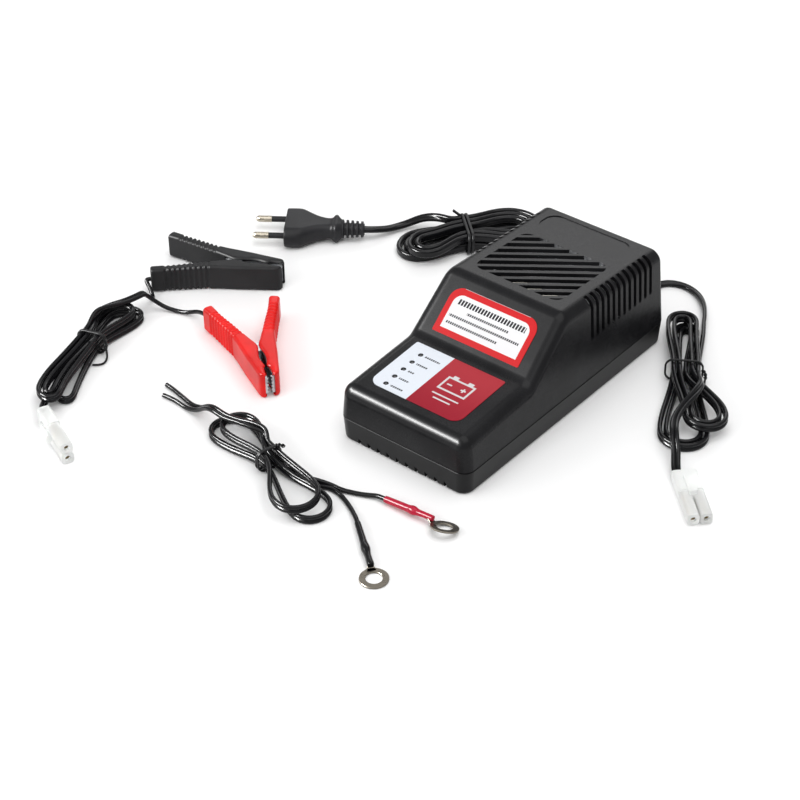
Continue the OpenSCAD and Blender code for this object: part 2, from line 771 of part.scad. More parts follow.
clip_split_route = concat(from_hank(clip_hank),
    [on_hank(clip_hank, 17, 6.4, 13.8, 60), on_hank(clip_hank, 26, 2, 13.6, 20),
    on_hank(clip_hank, 34, -3.6, 12.6, 0)], into(clip_fork, clip_fork_heading, 0, 3));
ring_fork = [-15.6, -127.8, 1.4, 0];
ring_fork_heading = 0;
ring_split_route = concat(reversed(into(ring_fork, 0, 0, 2)),
    [on_hank(ring_hank, 28.5, 12.4, 2.2, 45)], meet_hank(ring_hank));

echo(mains_hank_entry = hank_entry(mains_hank), leave = hank_leave(mains_hank));
echo(output_hank_entry = hank_entry(output_hank), leave = hank_leave(output_hank));
echo(clip_hank_entry = hank_entry(clip_hank), leave = hank_leave(clip_hank));
echo(ring_hank_entry = hank_entry(ring_hank), leave = hank_leave(ring_hank));

module flat_cord(route, w, t, steps = 3) {
    skin(cord_rings(spline(route, steps), w, t, 8));
}

module round_core(route, steps = 3) {
    skin(cord_rings(spline(route, steps), core_d, core_d, 8));
}

module mains_cord_exit() { color("#222225") flat_cord(mains_exit_route, mains_w, mains_t); }
module mains_cord_hank() { color("#222225") hank(mains_hank); }
module mains_cord_end() { color("#222225") flat_cord(mains_end_route, mains_w, mains_t); }
module mains_hank_tie() { hank_tie(mains_hank, 1); }
module output_cord_exit() { color("#26262a") flat_cord(output_exit_route, flex_w, core_d); }
module output_cord_hank() { color("#26262a") hank(output_hank); }
module output_cord_end() { color("#26262a") flat_cord(output_end_route, flex_w, core_d); }
module output_hank_tie() { hank_tie(output_hank, -1); }
module clip_cord_end() { color("#26262a") flat_cord(clip_end_route, flex_w, core_d); }
module clip_cord_hank() { color("#26262a") hank(clip_hank); }
module clip_cord_split() { color("#26262a") flat_cord(clip_split_route, flex_w, core_d); }
module clip_hank_tie() { hank_tie(clip_hank, -1); }
module ring_cord_split() { color("#26262a") flat_cord(ring_split_route, flex_w, core_d); }
module ring_cord_hank() { color("#26262a") hank(ring_hank); }
module ring_hank_tie() { hank_tie(ring_hank, 1); }

// ---------------------------------------------------------------- mains plug

plug_w = 31.6;
plug_h = 13.4;
plug_l = 47.6;
pin_pitch = 18.6;
pin_r = 2;
neck_r = 1.4;
sleeve_r = 1.8;

// Sections of the moulded plug along its length: [x, width, height, corner].
plug_rings = [[13, 10.5, 9.6, 4], [14.6, 12.6, 10.8, 4], [16.8, 17.2, 13, 4], [17.6, 17, 12.8, 4],
    [19.2, 13.8, 10.8, 4], [21.4, 13.2, 10.2, 4], [24.5, 14.2, 10.4, 4], [28.5, 17.2, 11.2, 4.4],
    [33, 23.4, 12, 5], [37, 29.8, 12.8, 5.6], [39.5, plug_w, plug_h, 6],
    [plug_l - 1, plug_w, plug_h, 6], [plug_l, plug_w - 1.8, plug_h - 1.8, 5.2]];

module at_plug() {
    translate(plug_at) rotate(180 + plug_turn) children();
}

module along_x() {
    rotate([90, 0, 90]) children();
}

module mains_plug() {
    color("#232326") at_plug() difference() {
        union() {
            skin([for (s = plug_rings)
                [for (p = round_rect(s[1], s[2], s[3], 4)) [s[0], p[0], p[1]]]]);
            along_x() rotate_extrude($fn = 24) polygon([[0, 0], [4.3, 0], [4.6, 0.4],
                [4.6, 1.7], [3.4, 2], [3.4, 2.9], [4.9, 3.2], [4.9, 4.6], [3.5, 4.9],
                [3.5, 5.8], [5.1, 6.1], [5.1, 7.5], [3.6, 7.8], [3.6, 8.7], [5.3, 9],
                [5.3, 10.4], [3.8, 10.7], [3.8, 11.6], [5.3, 11.9], [5.3, 13.4], [0, 13.4]]);
        }
        for (side = [-1, 1]) translate([0, side * pin_pitch / 2, 0]) {
            translate([plug_l - 8, 0, 0]) along_x() cylinder(h = 10, r = neck_r, $fn = 24);
            translate([plug_l - 2, 0, 0]) along_x() cylinder(h = 4, r = sleeve_r, $fn = 24);
        }
    }
}

module mains_plug_pins() {
    color("#b08a44") at_plug() for (side = [-1, 1])
        translate([plug_l - 8, side * pin_pitch / 2, 0]) along_x() rotate_extrude($fn = 24)
            polygon([[0, 0], [neck_r, 0], [neck_r, 17.6], [pin_r, 17.6], [pin_r, 25.4],
                [1.7, 26.3], [1.1, 27], [0, 27]]);
}

module plug_pin_sleeves() {
    color("#1c1c1e") at_plug() for (side = [-1, 1])
        translate([plug_l - 2, side * pin_pitch / 2, 0]) along_x() difference() {
            cylinder(h = 11.5, r = sleeve_r, $fn = 24);
            translate([0, 0, -1]) cylinder(h = 14, r = neck_r, $fn = 24);
        }
}

// ---------------------------------------------------------------- connectors

connector_l = 37.5;
connector_w = 13.6;
connector_h = 7.4;
barrel_pitch = 6.8;
barrel_w = 6.1;
contact_r = 1.6;

// Two-way housing whose cord enters to one side of the middle.
module connector_housing(aside) {
    difference() {
        union() {
            translate([0, -aside, 0]) along_x() linear_extrude(2)
                polygon(round_rect(7.2, 5, 1.6, 3));
            translate([1.5, 0, 0]) along_x() linear_extrude(16)
                polygon(round_rect(connector_w, connector_h, 1.8, 3));
            for (side = [-1, 1]) translate([16, side * barrel_pitch / 2, 0]) along_x()
                linear_extrude(connector_l - 16) polygon(round_rect(barrel_w, 6.6, 1.5, 3));
            translate([7, -2.2, 0]) cube([14.5, 4.4, connector_h / 2 + 1.2]);
            translate([20, -2.2, 0]) cube([1.5, 4.4, connector_h / 2 + 2]);
        }
        translate([9.5, -3, connector_h / 2 + 0.01]) cube([8, 6, 0.6]);
        for (side = [-1, 1]) translate([connector_l - 20, side * barrel_pitch / 2, 0])
            along_x() cylinder(h = 22, r = contact_r, $fn = 20);
    }
}

module connector_contacts() {
    for (side = [-1, 1]) translate([connector_l - 20, side * barrel_pitch / 2, 0]) along_x()
        difference() {
            cylinder(h = 18, r = contact_r, $fn = 20);
            translate([0, 0, 4]) cylinder(h = 16, r = 1.05, $fn = 16);
        }
}

module at_output() {
    translate(output_plug_at) rotate(output_plug_turn) translate([0, 3.2, 0]) children();
}

module at_clips() {
    translate(clip_plug_at) rotate(clip_plug_turn) rotate([90, 0, 0]) children();
}

module output_connector() { color("#f1efe9") at_output() connector_housing(3.2); }
module output_contacts() { color("#c9a45e") at_output() connector_contacts(); }
module clip_connector() { color("#f1efe9") at_clips() connector_housing(0); }
module clip_contacts() { color("#c9a45e") at_clips() connector_contacts(); }

// ---------------------------------------------------------------- battery clips

// Half of a clip in plan, pivot at the origin and nose ahead: [x, y].
clip_outer = [[-44.6, 22.7], [-36, 19.7], [-24, 15.8], [-15, 12.9], [-8, 11.3], [0, 10.2],
    [8, 9], [19, 6.8], [25, 5.3], [28.3, 4.2], [29.5, 3]];
clip_inner = [[29.5, 2.1], [21, 2.1], [19, 0.7], [17, 0.6], [13, 1.9], [9, 2.3], [5, 1.6],
    [2, 0.35], [-2, 0.5], [-8, 2.9], [-15, 5.6], [-24, 9], [-36, 13.6], [-46.6, 17]];
jaw_back = -20;
skin_t = 1.5;
steel_t = 1;
rib_in = 0.7;
rib_pitch = 3.4;
black_clip_at = [-187.2, -15.5, 0];
black_clip_turn = 26.6;
red_clip_at = [-117.7, -71.7, 0];
red_clip_turn = -35.2;
grip_end = [-45.6, 19.85];
grip_end_turn = 19.3;
handle_drop = 2.2;

function sized(p) = [p[0] * (p[0] < 0 ? handle_l / 46 : jaw_l / 29.5), p[1]];
function half_plan(inset) = [for (p = concat(
    [for (q = clip_outer) [q[0], q[1] - inset]], clip_inner)) sized(p)];
function strip_plan(from, to, back, front) = [for (p = concat(
    [for (x = [back, -15, -8, 0, 8, 19, 25, front]) [x, lookup(x, clip_outer) - from]],
    [for (x = [front, 25, 21, 17, 9, 0, -8, -15, back])
        [x, to > 0 ? lookup(x, clip_outer) - to
            : max(lookup(-x, [for (q = clip_inner) [-q[0], q[1]]]) + 0.5, 0.9)]])) sized(p)];

// One half in plan, thinner towards the end of the handle, all shrunk by an inset.
module grip_form(inset) {
    back = -60;
    drop = handle_drop * 35 / 26;
    intersection() {
        linear_extrude(clip_h) polygon(half_plan(inset));
        translate([0, 40, 0]) rotate([90, 0, 0]) linear_extrude(50) polygon([
            [back, drop + inset], [-20, inset], [40, inset],
            [40, clip_h - inset], [-20, clip_h - inset], [back, clip_h - drop - inset]]);
    }
}

// Moulded grip over one half, hollow around the steel jaw.
module clip_grip() {
    difference() {
        union() {
            grip_form(rib_in);
            intersection() {
                grip_form(0);
                translate([0, 0, -1]) linear_extrude(clip_h + 2) union() {
                    translate([-17, -1]) square([60, 40]);
                    for (i = [0:grip_ribs - 1])
                        translate([-48 + i * rib_pitch, -1]) square([2.1, 40]);
                }
            }
        }
        translate([0, 0, 1.3]) linear_extrude(clip_h - 2.6)
            polygon([for (p = concat([for (x = [jaw_back, -15, -8, 0, 8, 19, 25, 28])
                [x, lookup(x, clip_outer) - skin_t]], [[31, 3], [31, -4], [jaw_back, -4]]))
                sized(p)]);
    }
}

// Folded steel jaw: two flanges, a web along the grip and a toothed nose.
module clip_steel(low, high) {
    for (z = [low, high - steel_t]) translate([0, 0, z]) linear_extrude(steel_t) union() {
        polygon(strip_plan(skin_t, 0, jaw_back, 27.6));
        circle(4.2, $fn = 24);
    }
    translate([0, 0, low]) linear_extrude(high - low)
        polygon(strip_plan(skin_t, skin_t + steel_t, jaw_back, 27.6));
}

module nose_teeth(low, high, side) {
    n = 5;
    pitch = (high - low) / n;
    translate([sized([20, 0])[0], 0, low]) rotate([90, 0, 90])
        linear_extrude(8.6 * jaw_l / 29.5) polygon(concat(
            [for (i = [0:2 * n]) [side * 0.2 + (i % 2 == 0 ? -0.9 : 0.9), i * pitch / 2]],
            [[side * 2, high - low], [side * 2, 0]]));
}

module fixed_jaw() {
    mirror([0, 1, 0]) clip_steel(1.5, clip_h - 1.5);
    translate([0, 0, 1.5]) cylinder(h = clip_h - 3, r = pivot_r, $fn = 32);
    nose_teeth(2.5, clip_h - 2.5, -1);
}

module moving_jaw() {
    difference() {
        clip_steel(2.7, clip_h - 2.7);
        cylinder(h = clip_h, r = pivot_r + pivot_gap, $fn = 32);
    }
    nose_teeth(2.7, clip_h - 2.7, 1);
}

// Torsion spring around the pivot with an arm to each half.
module clip_spring() {
    translate([0, 0, 4.6]) rotate_extrude($fn = 20) polygon(concat(
        [for (i = [0:4]) each [[2.4, i * 1.35], [2.1, i * 1.35 + 0.67]]], [[2.4, 6.75]],
        [for (i = [4:-1:0]) each [[3.2, i * 1.35 + 1.35], [3.6, i * 1.35 + 0.67]]],
        [[3.2, 0]]));
    for (side = [-1, 1]) translate([0, side * 2.6, side > 0 ? 5.3 : 10.6])
        rotate([0, -90, side * -22]) cylinder(h = 15, r = 0.65, $fn = 13);
}

module at_black() { translate(black_clip_at) rotate(black_clip_turn) children(); }
module at_red() { translate(red_clip_at) rotate(red_clip_turn) children(); }

module black_clip_fixed_grip() { color("#2b2b2f") at_black() mirror([0, 1, 0]) clip_grip(); }
module black_clip_moving_grip() { color("#2b2b2f") at_black() clip_grip(); }
module black_clip_fixed_jaw() { color("#b5b8bb") at_black() fixed_jaw(); }
module black_clip_moving_jaw() { color("#b5b8bb") at_black() moving_jaw(); }
module black_clip_spring() { color("#8b8e91") at_black() clip_spring(); }
module red_clip_fixed_grip() { color("#e01820") at_red() mirror([0, 1, 0]) clip_grip(); }
module red_clip_moving_grip() { color("#e01820") at_red() clip_grip(); }
module red_clip_fixed_jaw() { color("#b5b8bb") at_red() fixed_jaw(); }
module red_clip_moving_jaw() { color("#b5b8bb") at_red() moving_jaw(); }
module red_clip_spring() { color("#8b8e91") at_red() clip_spring(); }

// Where a lead meets the end of a fixed grip: [point, direction outwards].
function grip_lead(at, turn, out) =
    let (
        e = sized([grip_end[0], grip_end[1]]),
        a = turn + 180 + grip_end_turn,
        x = at[0] + e[0] * cos(turn) + e[1] * sin(turn),
        y = at[1] + e[0] * sin(turn) - e[1] * cos(turn)
    )
    [x + out * cos(a), y + out * sin(a), clip_h / 2, 0];

// Start of one core where a flat twin lead parts: side is -1 or 1.
function parted(fork, heading, side, out = 0) =
    let (aside = side * (core_d / 2 + 0.06))
    [fork[0] + out * cos(heading) - aside * sin(heading),
     fork[1] + out * sin(heading) + aside * cos(heading), fork[2], 0];

clip_black_route = concat(
    [parted(clip_fork, clip_fork_heading, 1), parted(clip_fork, clip_fork_heading, 1, 3)],
    [[-209, -67, 7.4, 0], [-210.2, -62, 2.6, 0], [-213.2, -59, 1.7, 0],
    [-216.6, -57.4, 4.6, 0]],
    [grip_lead(black_clip_at, black_clip_turn, 3), grip_lead(black_clip_at, black_clip_turn, 0)]);
clip_red_route = concat(
    [parted(clip_fork, clip_fork_heading, -1), parted(clip_fork, clip_fork_heading, -1, 3)],
    [[-204, -68.2, 8, 0], [-197, -63.8, 2.6, 0], [-187, -60, 1.6, 0], [-178, -58.6, 5, 0]],
    [grip_lead(red_clip_at, red_clip_turn, 4), grip_lead(red_clip_at, red_clip_turn, 0)]);

module clip_lead_black() { color("#26262a") round_core(clip_black_route); }
module clip_lead_red() { color("#26262a") round_core(clip_red_route); }

// ---------------------------------------------------------------- ring terminals

// The red one stands on its far edge and on the lead's end of its sleeve.
red_ring_at = [50.25, -118.5, 2.65];
red_ring_turns = [-20, -3.7, 2.5];
black_ring_at = [45.5, -168.1, 0.2];
black_ring_turns = [0, 0, -38.5];
red_sleeve_l = 29;
black_sleeve_l = 32;
sleeve_z = 2.75;
barrel_end = -8.6;

module ring_terminal() {
    difference() {
        union() {
            cylinder(h = 1, d = ring_d, $fn = 40);
            translate([-8.5, -2.4, 0]) cube([8.5, 4.8, 1]);
            translate([-14.6, 0, sleeve_z - 0.2]) rotate([0, 90, 0])
                cylinder(h = 7.3, r = 2, $fn = 20);
            translate([-8.5, -2, 0]) cube([1.4, 4, sleeve_z]);
        }
        translate([0, 0, -1]) cylinder(h = 3, d = ring_hole_d, $fn = 40);
        translate([-16, 0, sleeve_z - 0.2]) rotate([0, 90, 0])
            cylinder(h = 5.4, r = core_d / 2 + 0.1, $fn = 20);
    }
}

module ring_terminals() {
    color("#a9a294") {
        translate(red_ring_at) rotate(red_ring_turns) ring_terminal();
        translate(black_ring_at) rotate(black_ring_turns) ring_terminal();
    }
}

// Sleeve from behind the ring towards the lead: profile [along, radius].
module sleeve(profile) {
    translate([barrel_end, 0, sleeve_z - 0.2]) rotate([0, -90, 0]) difference() {
        rotate_extrude($fn = 20) polygon(concat([[0, 0]], [for (p = profile) [p[1], p[0]]],
            [[0, profile[len(profile) - 1][0]]]));
        translate([0, 0, -1]) cylinder(h = 7.1, r = 2.03, $fn = 20);
        translate([0, 0, -1]) cylinder(h = 60, r = core_d / 2 + 0.1, $fn = 20);
    }
}

module red_sleeve() {
    color("#c4183a") translate(red_ring_at) rotate(red_ring_turns) sleeve([[0, 2.5], [7, 2.55],
        [8, 2.5], [9.2, 2.54], [red_sleeve_l, 2.35]]);
}

module black_sleeve() {
    color("#232326") translate(black_ring_at) rotate(black_ring_turns) sleeve([[0, 2.55],
        [14, 2.55], [16, 2.2], [black_sleeve_l, 1.95]]);
}

// A point turned about x, then y, then z.
function turned(p, t) =
    let (
        y = p[1] * cos(t[0]) - p[2] * sin(t[0]),
        h = p[1] * sin(t[0]) + p[2] * cos(t[0]),
        x = p[0] * cos(t[1]) + h * sin(t[1]),
        z = -p[0] * sin(t[1]) + h * cos(t[1])
    )
    [x * cos(t[2]) - y * sin(t[2]), x * sin(t[2]) + y * cos(t[2]), z];

function ring_lead_end(at, turns, l) =
    let (p = at + turned([barrel_end - l, 0, sleeve_z - 0.2], turns)) [p[0], p[1], p[2], 0];

ring_red_route = concat(
    [parted(ring_fork, ring_fork_heading, 1), parted(ring_fork, ring_fork_heading, 1, 3)],
    [[-8.2, -125.6, 1.35, 0], [-0.3, -122.8, 1.5, 0]],
    [for (l = [red_sleeve_l + 5, red_sleeve_l + 1, 8])
        ring_lead_end(red_ring_at, red_ring_turns, l)]);
ring_black_route = concat(
    [parted(ring_fork, ring_fork_heading, -1), parted(ring_fork, ring_fork_heading, -1, 3)],
    [[-7.1, -130.4, 1.35, 0], [1.4, -134.3, 1.4, 0]],
    [for (l = [black_sleeve_l + 4, black_sleeve_l + 1, 8])
        ring_lead_end(black_ring_at, black_ring_turns, l)]);

module ring_lead_black() { color("#26262a") round_core(ring_black_route); }
module ring_lead_red() { color("#26262a") round_core(ring_red_route); }

// Two cores that run on over the hank and end cut off square, bare of a connector.
ring_ends_heading = 165;
module ring_cord_ends() {
    out = [for (d = [5.08, 6.5, 8]) hank_leave(ring_hank, d)];
    for (side = [-1, 1]) {
        route = concat([for (p = out) [p[0], p[1], p[2] + side * (core_d / 2 + 0.06), 0]],
            [[-65.1, -124.6 + side * 0.3, 12.6 + side * 1.2, 0],
            [-71.5, -125.8 + side * 1, 13.8 + side * 0.85, 0],
            [-80, -127.2 + side * 1.32, 13.4, 0], [-90, -128.2 + side * 1.32, 12.5, 0],
            [-100, -127 + side * 1.32, 12.2, 0], [-107, -125.2 + side * 1.4, 9, 0],
            [-114, -124.2 + side * 1.7, 4.2, 0], [-122, -123.3 + side * 2, 1.5, 0]],
            side > 0 ? [[-131, -119.4, 1.35, 0], [-139, -117.7, 1.35, 0], [-145.9, -116.6, 1.35, 0]]
                : [[-131, -124.3, 1.35, 0], [-136, -124.3, 1.35, 0], [-140.5, -124.7, 1.35, 0]]);
        color("#26262a") round_core(route, 2);
    }
}

echo(mains_visible = path_length(spline(mains_exit_route, 3)) + path_length(hank_path(mains_hank, 24))
    + path_length(spline(mains_end_route, 3)));
echo(output_visible = path_length(spline(output_exit_route, 3))
    + path_length(hank_path(output_hank, 24)) + path_length(spline(output_end_route, 3)));
echo(clip_visible = path_length(spline(clip_end_route, 3)) + path_length(hank_path(clip_hank, 24))
    + path_length(spline(clip_split_route, 3)));
echo(ring_visible = path_length(spline(ring_split_route, 3))
    + path_length(hank_path(ring_hank, 24)));

// ---------------------------------------------------------------- nodes

top_cover();
base_tray();
indicator_label();
rating_label();
status_leds();
case_screws();
circuit_board();
board_screws();
transformer_core();
transformer_bobbin();
transformer_windings();
transformer_bracket();
filter_capacitors();
rectifier_diodes();
heat_sink();
power_transistor();
control_chip();
mains_fuse();
mains_strain_relief();
output_grommet();
mains_cord_exit();
mains_cord_hank();
mains_cord_end();
mains_hank_tie();
mains_plug();
mains_plug_pins();
plug_pin_sleeves();
output_cord_exit();
output_cord_hank();
output_cord_end();
output_hank_tie();
output_connector();
output_contacts();
clip_connector();
clip_contacts();
clip_cord_end();
clip_cord_hank();
clip_cord_split();
clip_hank_tie();
clip_lead_black();
clip_lead_red();
black_clip_fixed_grip();
black_clip_moving_grip();
black_clip_fixed_jaw();
black_clip_moving_jaw();
black_clip_spring();
red_clip_fixed_grip();
red_clip_moving_grip();
red_clip_fixed_jaw();
red_clip_moving_jaw();
red_clip_spring();
ring_cord_ends();
ring_cord_hank();
ring_cord_split();
ring_hank_tie();
ring_lead_black();
ring_lead_red();
ring_terminals();
red_sleeve();
black_sleeve();
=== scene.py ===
# %% [markdown]
# # An automatic battery charger with its leads
#
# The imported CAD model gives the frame: every piece here lies where a node of that model lies.
# Most pieces are surfaces worked out with numpy, because a moulded housing, a cord or a grip is
# a simple rule along one line and around another. The rule is written down once, and the mesh
# can be as fine as the light needs.

import math
from types import SimpleNamespace

import bpy
import numpy as np
from mathutils import Matrix, Vector


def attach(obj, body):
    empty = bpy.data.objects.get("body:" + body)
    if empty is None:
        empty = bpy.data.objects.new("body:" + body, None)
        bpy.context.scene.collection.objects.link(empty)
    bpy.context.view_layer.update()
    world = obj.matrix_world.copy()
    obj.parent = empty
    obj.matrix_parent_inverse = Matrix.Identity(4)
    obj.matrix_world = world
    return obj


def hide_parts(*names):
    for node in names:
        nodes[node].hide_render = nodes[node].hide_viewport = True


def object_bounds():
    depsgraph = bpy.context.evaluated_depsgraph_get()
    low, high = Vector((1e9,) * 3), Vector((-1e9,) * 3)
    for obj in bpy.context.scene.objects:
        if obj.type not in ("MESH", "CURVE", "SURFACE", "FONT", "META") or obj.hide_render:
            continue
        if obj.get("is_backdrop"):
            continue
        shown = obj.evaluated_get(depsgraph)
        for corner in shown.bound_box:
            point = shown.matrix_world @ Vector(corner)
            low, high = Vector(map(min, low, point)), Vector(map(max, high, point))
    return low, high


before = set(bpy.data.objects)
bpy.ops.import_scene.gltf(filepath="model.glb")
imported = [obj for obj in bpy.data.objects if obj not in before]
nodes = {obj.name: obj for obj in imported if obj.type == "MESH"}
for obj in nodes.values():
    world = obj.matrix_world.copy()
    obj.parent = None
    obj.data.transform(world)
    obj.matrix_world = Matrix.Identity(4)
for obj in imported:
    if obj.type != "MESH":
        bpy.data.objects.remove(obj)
cad_box = [list(corner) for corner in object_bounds()]
MM = 0.001
print("CAD box in metres:", cad_box)

# %% [markdown]
# ## Camera and light
#
# The camera looks down at the charger from its front right. A long lens keeps the housing's
# edges nearly parallel. A turned camera could be aimed with a Track To constraint, but three
# direction vectors say exactly how it is held, so they are written as a matrix.

# %% Camera
CAMERA_PLACE = (0.56189, -0.76868, 0.70091)
CAMERA_RIGHT = (0.77443, 0.63258, -0.01038)
CAMERA_UP = (-0.3721, 0.46869, 0.80117)
CAMERA_BACK = (0.51167, -0.61658, 0.59835)
LENS_MM, SENSOR_MM = 96.788, 36

camera = bpy.data.objects.new("camera", bpy.data.cameras.new("camera"))
camera.data.lens = LENS_MM
camera.data.sensor_width = SENSOR_MM
camera.data.sensor_fit = "HORIZONTAL"
camera.data.clip_end = 20
columns = [(*v, 0) for v in (CAMERA_RIGHT, CAMERA_UP, CAMERA_BACK)] + [(*CAMERA_PLACE, 1)]
camera.matrix_world = Matrix(columns).transposed()
bpy.context.scene.collection.objects.link(camera)
bpy.context.scene.camera = camera
print("lens in millimetres:", LENS_MM)

# %% [markdown]
# Black plastic shows its shape through what it mirrors. One small, very bright strip at the
# front left draws a line along every rounded edge. Wide, weak boxes above, behind and in front
# light the floor from all sides, so shadows stay faint. Each box is given by its radiance, and
# its power in watts is pi times radiance times area.

# %% Lights
WORLD_LIGHT = 0.5


def soft_box(name, place, target, size, radiance, glints_only=False):
    """A rectangular area light that faces its target. One that only makes glints shows in
    gloss and lights no matt surface, as a small lamp held close to its reflection would."""
    lamp = bpy.data.lights.new(name, "AREA")
    lamp.shape = "RECTANGLE"
    lamp.size, lamp.size_y = size
    lamp.energy = radiance * math.pi * size[0] * size[1]
    holder = bpy.data.objects.new(name, lamp)
    towards = Vector(target) - Vector(place)
    holder.rotation_euler = towards.to_track_quat("-Z", "Y").to_euler()
    holder.location = place
    holder.visible_diffuse = not glints_only
    bpy.context.scene.collection.objects.link(holder)


soft_box("strip", (-0.75, -0.9, 0.7), (0, 0, 0.03), (0.9, 0.2), 150, glints_only=True)
soft_box("back_box", (-0.6, 1.1, 0.8), (0, 0, 0.03), (1.2, 0.35), 3)
soft_box("top_box", (0.3, -0.1, 1.5), (0, 0, 0), (1.6, 1.6), 2.1)
soft_box("front_box", (-0.4, -1.3, 0.8), (0, 0, 0), (1.2, 0.6), 2.2)

world = bpy.data.worlds.new("studio")
world.use_nodes = True
sky = world.node_tree.nodes["Background"].inputs
sky["Color"].default_value = (1, 1, 1, 1)
sky["Strength"].default_value = WORLD_LIGHT
bpy.context.scene.world = world
bpy.context.scene.view_settings.view_transform = "Standard"
print("lights:", len(bpy.data.lights))

# %% [markdown]
# ## Shader maths as Python expressions
#
# A procedural material is a formula on coordinates. Written node by node it is hard to read,
# so a small class wraps a socket and turns `a * b + 1` into the Math nodes that do it.

# %% Shader sockets


def operator(operation):
    """A method that puts its socket and one other value through a Math node."""
    return lambda self, other: self.math(operation, other)


class Socket:
    """A shader socket that adds Math nodes when it is used in an expression."""

    def __init__(self, paint, socket):
        self.paint, self.socket = paint, socket

    def math(self, operation, *others):
        """A Math node on this value and others."""
        return self.paint.node("Math", {"operation": operation}, self, *others)["Value"]

    __add__ = __radd__ = operator("ADD")
    __mul__ = __rmul__ = operator("MULTIPLY")
    __sub__ = operator("SUBTRACT")
    __gt__ = operator("GREATER_THAN")
    __lt__ = operator("LESS_THAN")

    def __rsub__(self, other):
        return self * -1.0 + other

    def between(self, low, high):
        """1 where the value lies between two limits, else 0."""
        return (self > low) * (self < high)

    def ramp(self, low, high):
        """Smoothly maps the range low..high onto 0..1."""
        settings = {"interpolation_type": "SMOOTHSTEP"}
        return self.paint.node("MapRange", settings, self, low, high, 0.0, 1.0)["Result"]


class Paint:
    """A material under construction: its node tree and its surface shader."""

    def __init__(self, name, colour, roughness, metallic=0.0, **fixed):
        self.material = bpy.data.materials.new(name)
        self.material.use_nodes = True
        self.tree = self.material.node_tree
        self.surface = self.tree.nodes["Principled BSDF"]
        fixed = {"Base Color": (*colour, 1), "Roughness": roughness, "Metallic": metallic, **fixed}
        for socket, value in fixed.items():
            self.surface.inputs[socket.replace("_", " ")].default_value = value
        coordinates = self.tree.nodes.new("ShaderNodeTexCoord")
        self.place = Socket(self, coordinates.outputs["Object"])

    def node(self, kind, settings, *values):
        """Adds a node, first its settings and then its sockets in order; None skips one."""
        added = self.tree.nodes.new("ShaderNode" + kind)
        for key, value in settings.items():
            setattr(added, key, value)
        for socket, value in zip(added.inputs, values):
            self.feed(socket, value)
        return {o.name: Socket(self, o) for o in added.outputs if o.enabled}

    def feed(self, socket, value):
        """Links a shader value to a socket, or sets a plain one there."""
        if isinstance(value, Socket):
            self.tree.links.new(value.socket, socket)
        elif value is not None:
            socket.default_value = value

    def set(self, name, value):
        """Feeds an input of the surface."""
        self.feed(self.surface.inputs[name], value)

    def xyz(self):
        """The three coordinates of the place, in millimetres."""
        parts = self.node("SeparateXYZ", {}, self.place)
        return [parts[axis] * (1 / MM) for axis in "XYZ"]

    def noise(self, per_mm, detail=2.0, stretch=(1, 1, 1)):
        """Noise from 0 to 1 with so many cells to a millimetre, stretched along the axes."""
        scale = [per_mm / MM * s for s in stretch]
        vector = self.node("Mapping", {}, self.place, None, None, scale)["Vector"]
        return self.node("TexNoise", {}, vector, None, 1.0, detail)["Fac"]

    def mix(self, mask, low, high):
        """One colour where the mask is 0, another where it is 1."""
        added = self.tree.nodes.new("ShaderNodeMix")
        added.data_type = "RGBA"
        self.feed(added.inputs["Factor"], mask)
        for socket, colour in ((added.inputs[6], low), (added.inputs[7], high)):
            self.feed(socket, colour if isinstance(colour, Socket) else (*colour, 1))
        return Socket(self, added.outputs[2])

    def bump(self, height, depth_mm):
        """Tilts the normal as a height from 0 to 1, scaled to a depth, would."""
        added = self.tree.nodes.new("ShaderNodeBump")
        added.inputs["Distance"].default_value = depth_mm * MM
        self.feed(added.inputs["Height"], height)
        self.set("Normal", Socket(self, added.outputs["Normal"]))


# %% [markdown]
# ## Plastics and metals
#
# Moulded housings are spark-eroded: the tool leaves a fine, even grain that scatters the light.
# Two scales of noise make it, one as bump and one as a slow change of gloss where hands polish
# it. Soft vinyl on cords has no grain, only faint ripples from the extruder.

# %% Materials of the plastics
finish = {}


def plain(name, colour, roughness, **fixed):
    """A clear or glossy material whose look comes from what it bends and mirrors."""
    finish[name] = Paint(name, colour, roughness, **fixed).material


def grained(name, colour, roughness, grain=0.012, per_mm=3.2, spread=0.05):
    """Moulded plastic with an even fine grain and slowly changing gloss."""
    paint = Paint(name, colour, roughness, Specular_IOR_Level=0.14)
    slow = paint.noise(0.05, 3)
    fine = paint.noise(per_mm, 3)
    paint.set("Roughness", slow * spread + fine * 0.06 + (roughness - spread / 2 - 0.03))
    lighter = [c * 1.25 + 0.002 for c in colour]
    paint.set("Base Color", paint.mix(slow.ramp(0.3, 0.7), colour, lighter))
    paint.bump(fine, grain)
    finish[name] = paint.material


def vinyl(name, colour, roughness, ripple=0.05):
    """Soft extruded vinyl: smooth, with faint ripples and dull patches."""
    paint = Paint(name, colour, roughness, Specular_IOR_Level=0.2)
    ripples = paint.noise(0.35, 2)
    dust = paint.noise(1.6, 4)
    paint.set("Roughness", dust.ramp(0.45, 0.8) * 0.16 + roughness)
    lighter = [c * 1.6 + 0.004 for c in colour]
    paint.set("Base Color", paint.mix(dust.ramp(0.5, 0.85), colour, lighter))
    paint.bump(ripples, ripple)
    finish[name] = paint.material


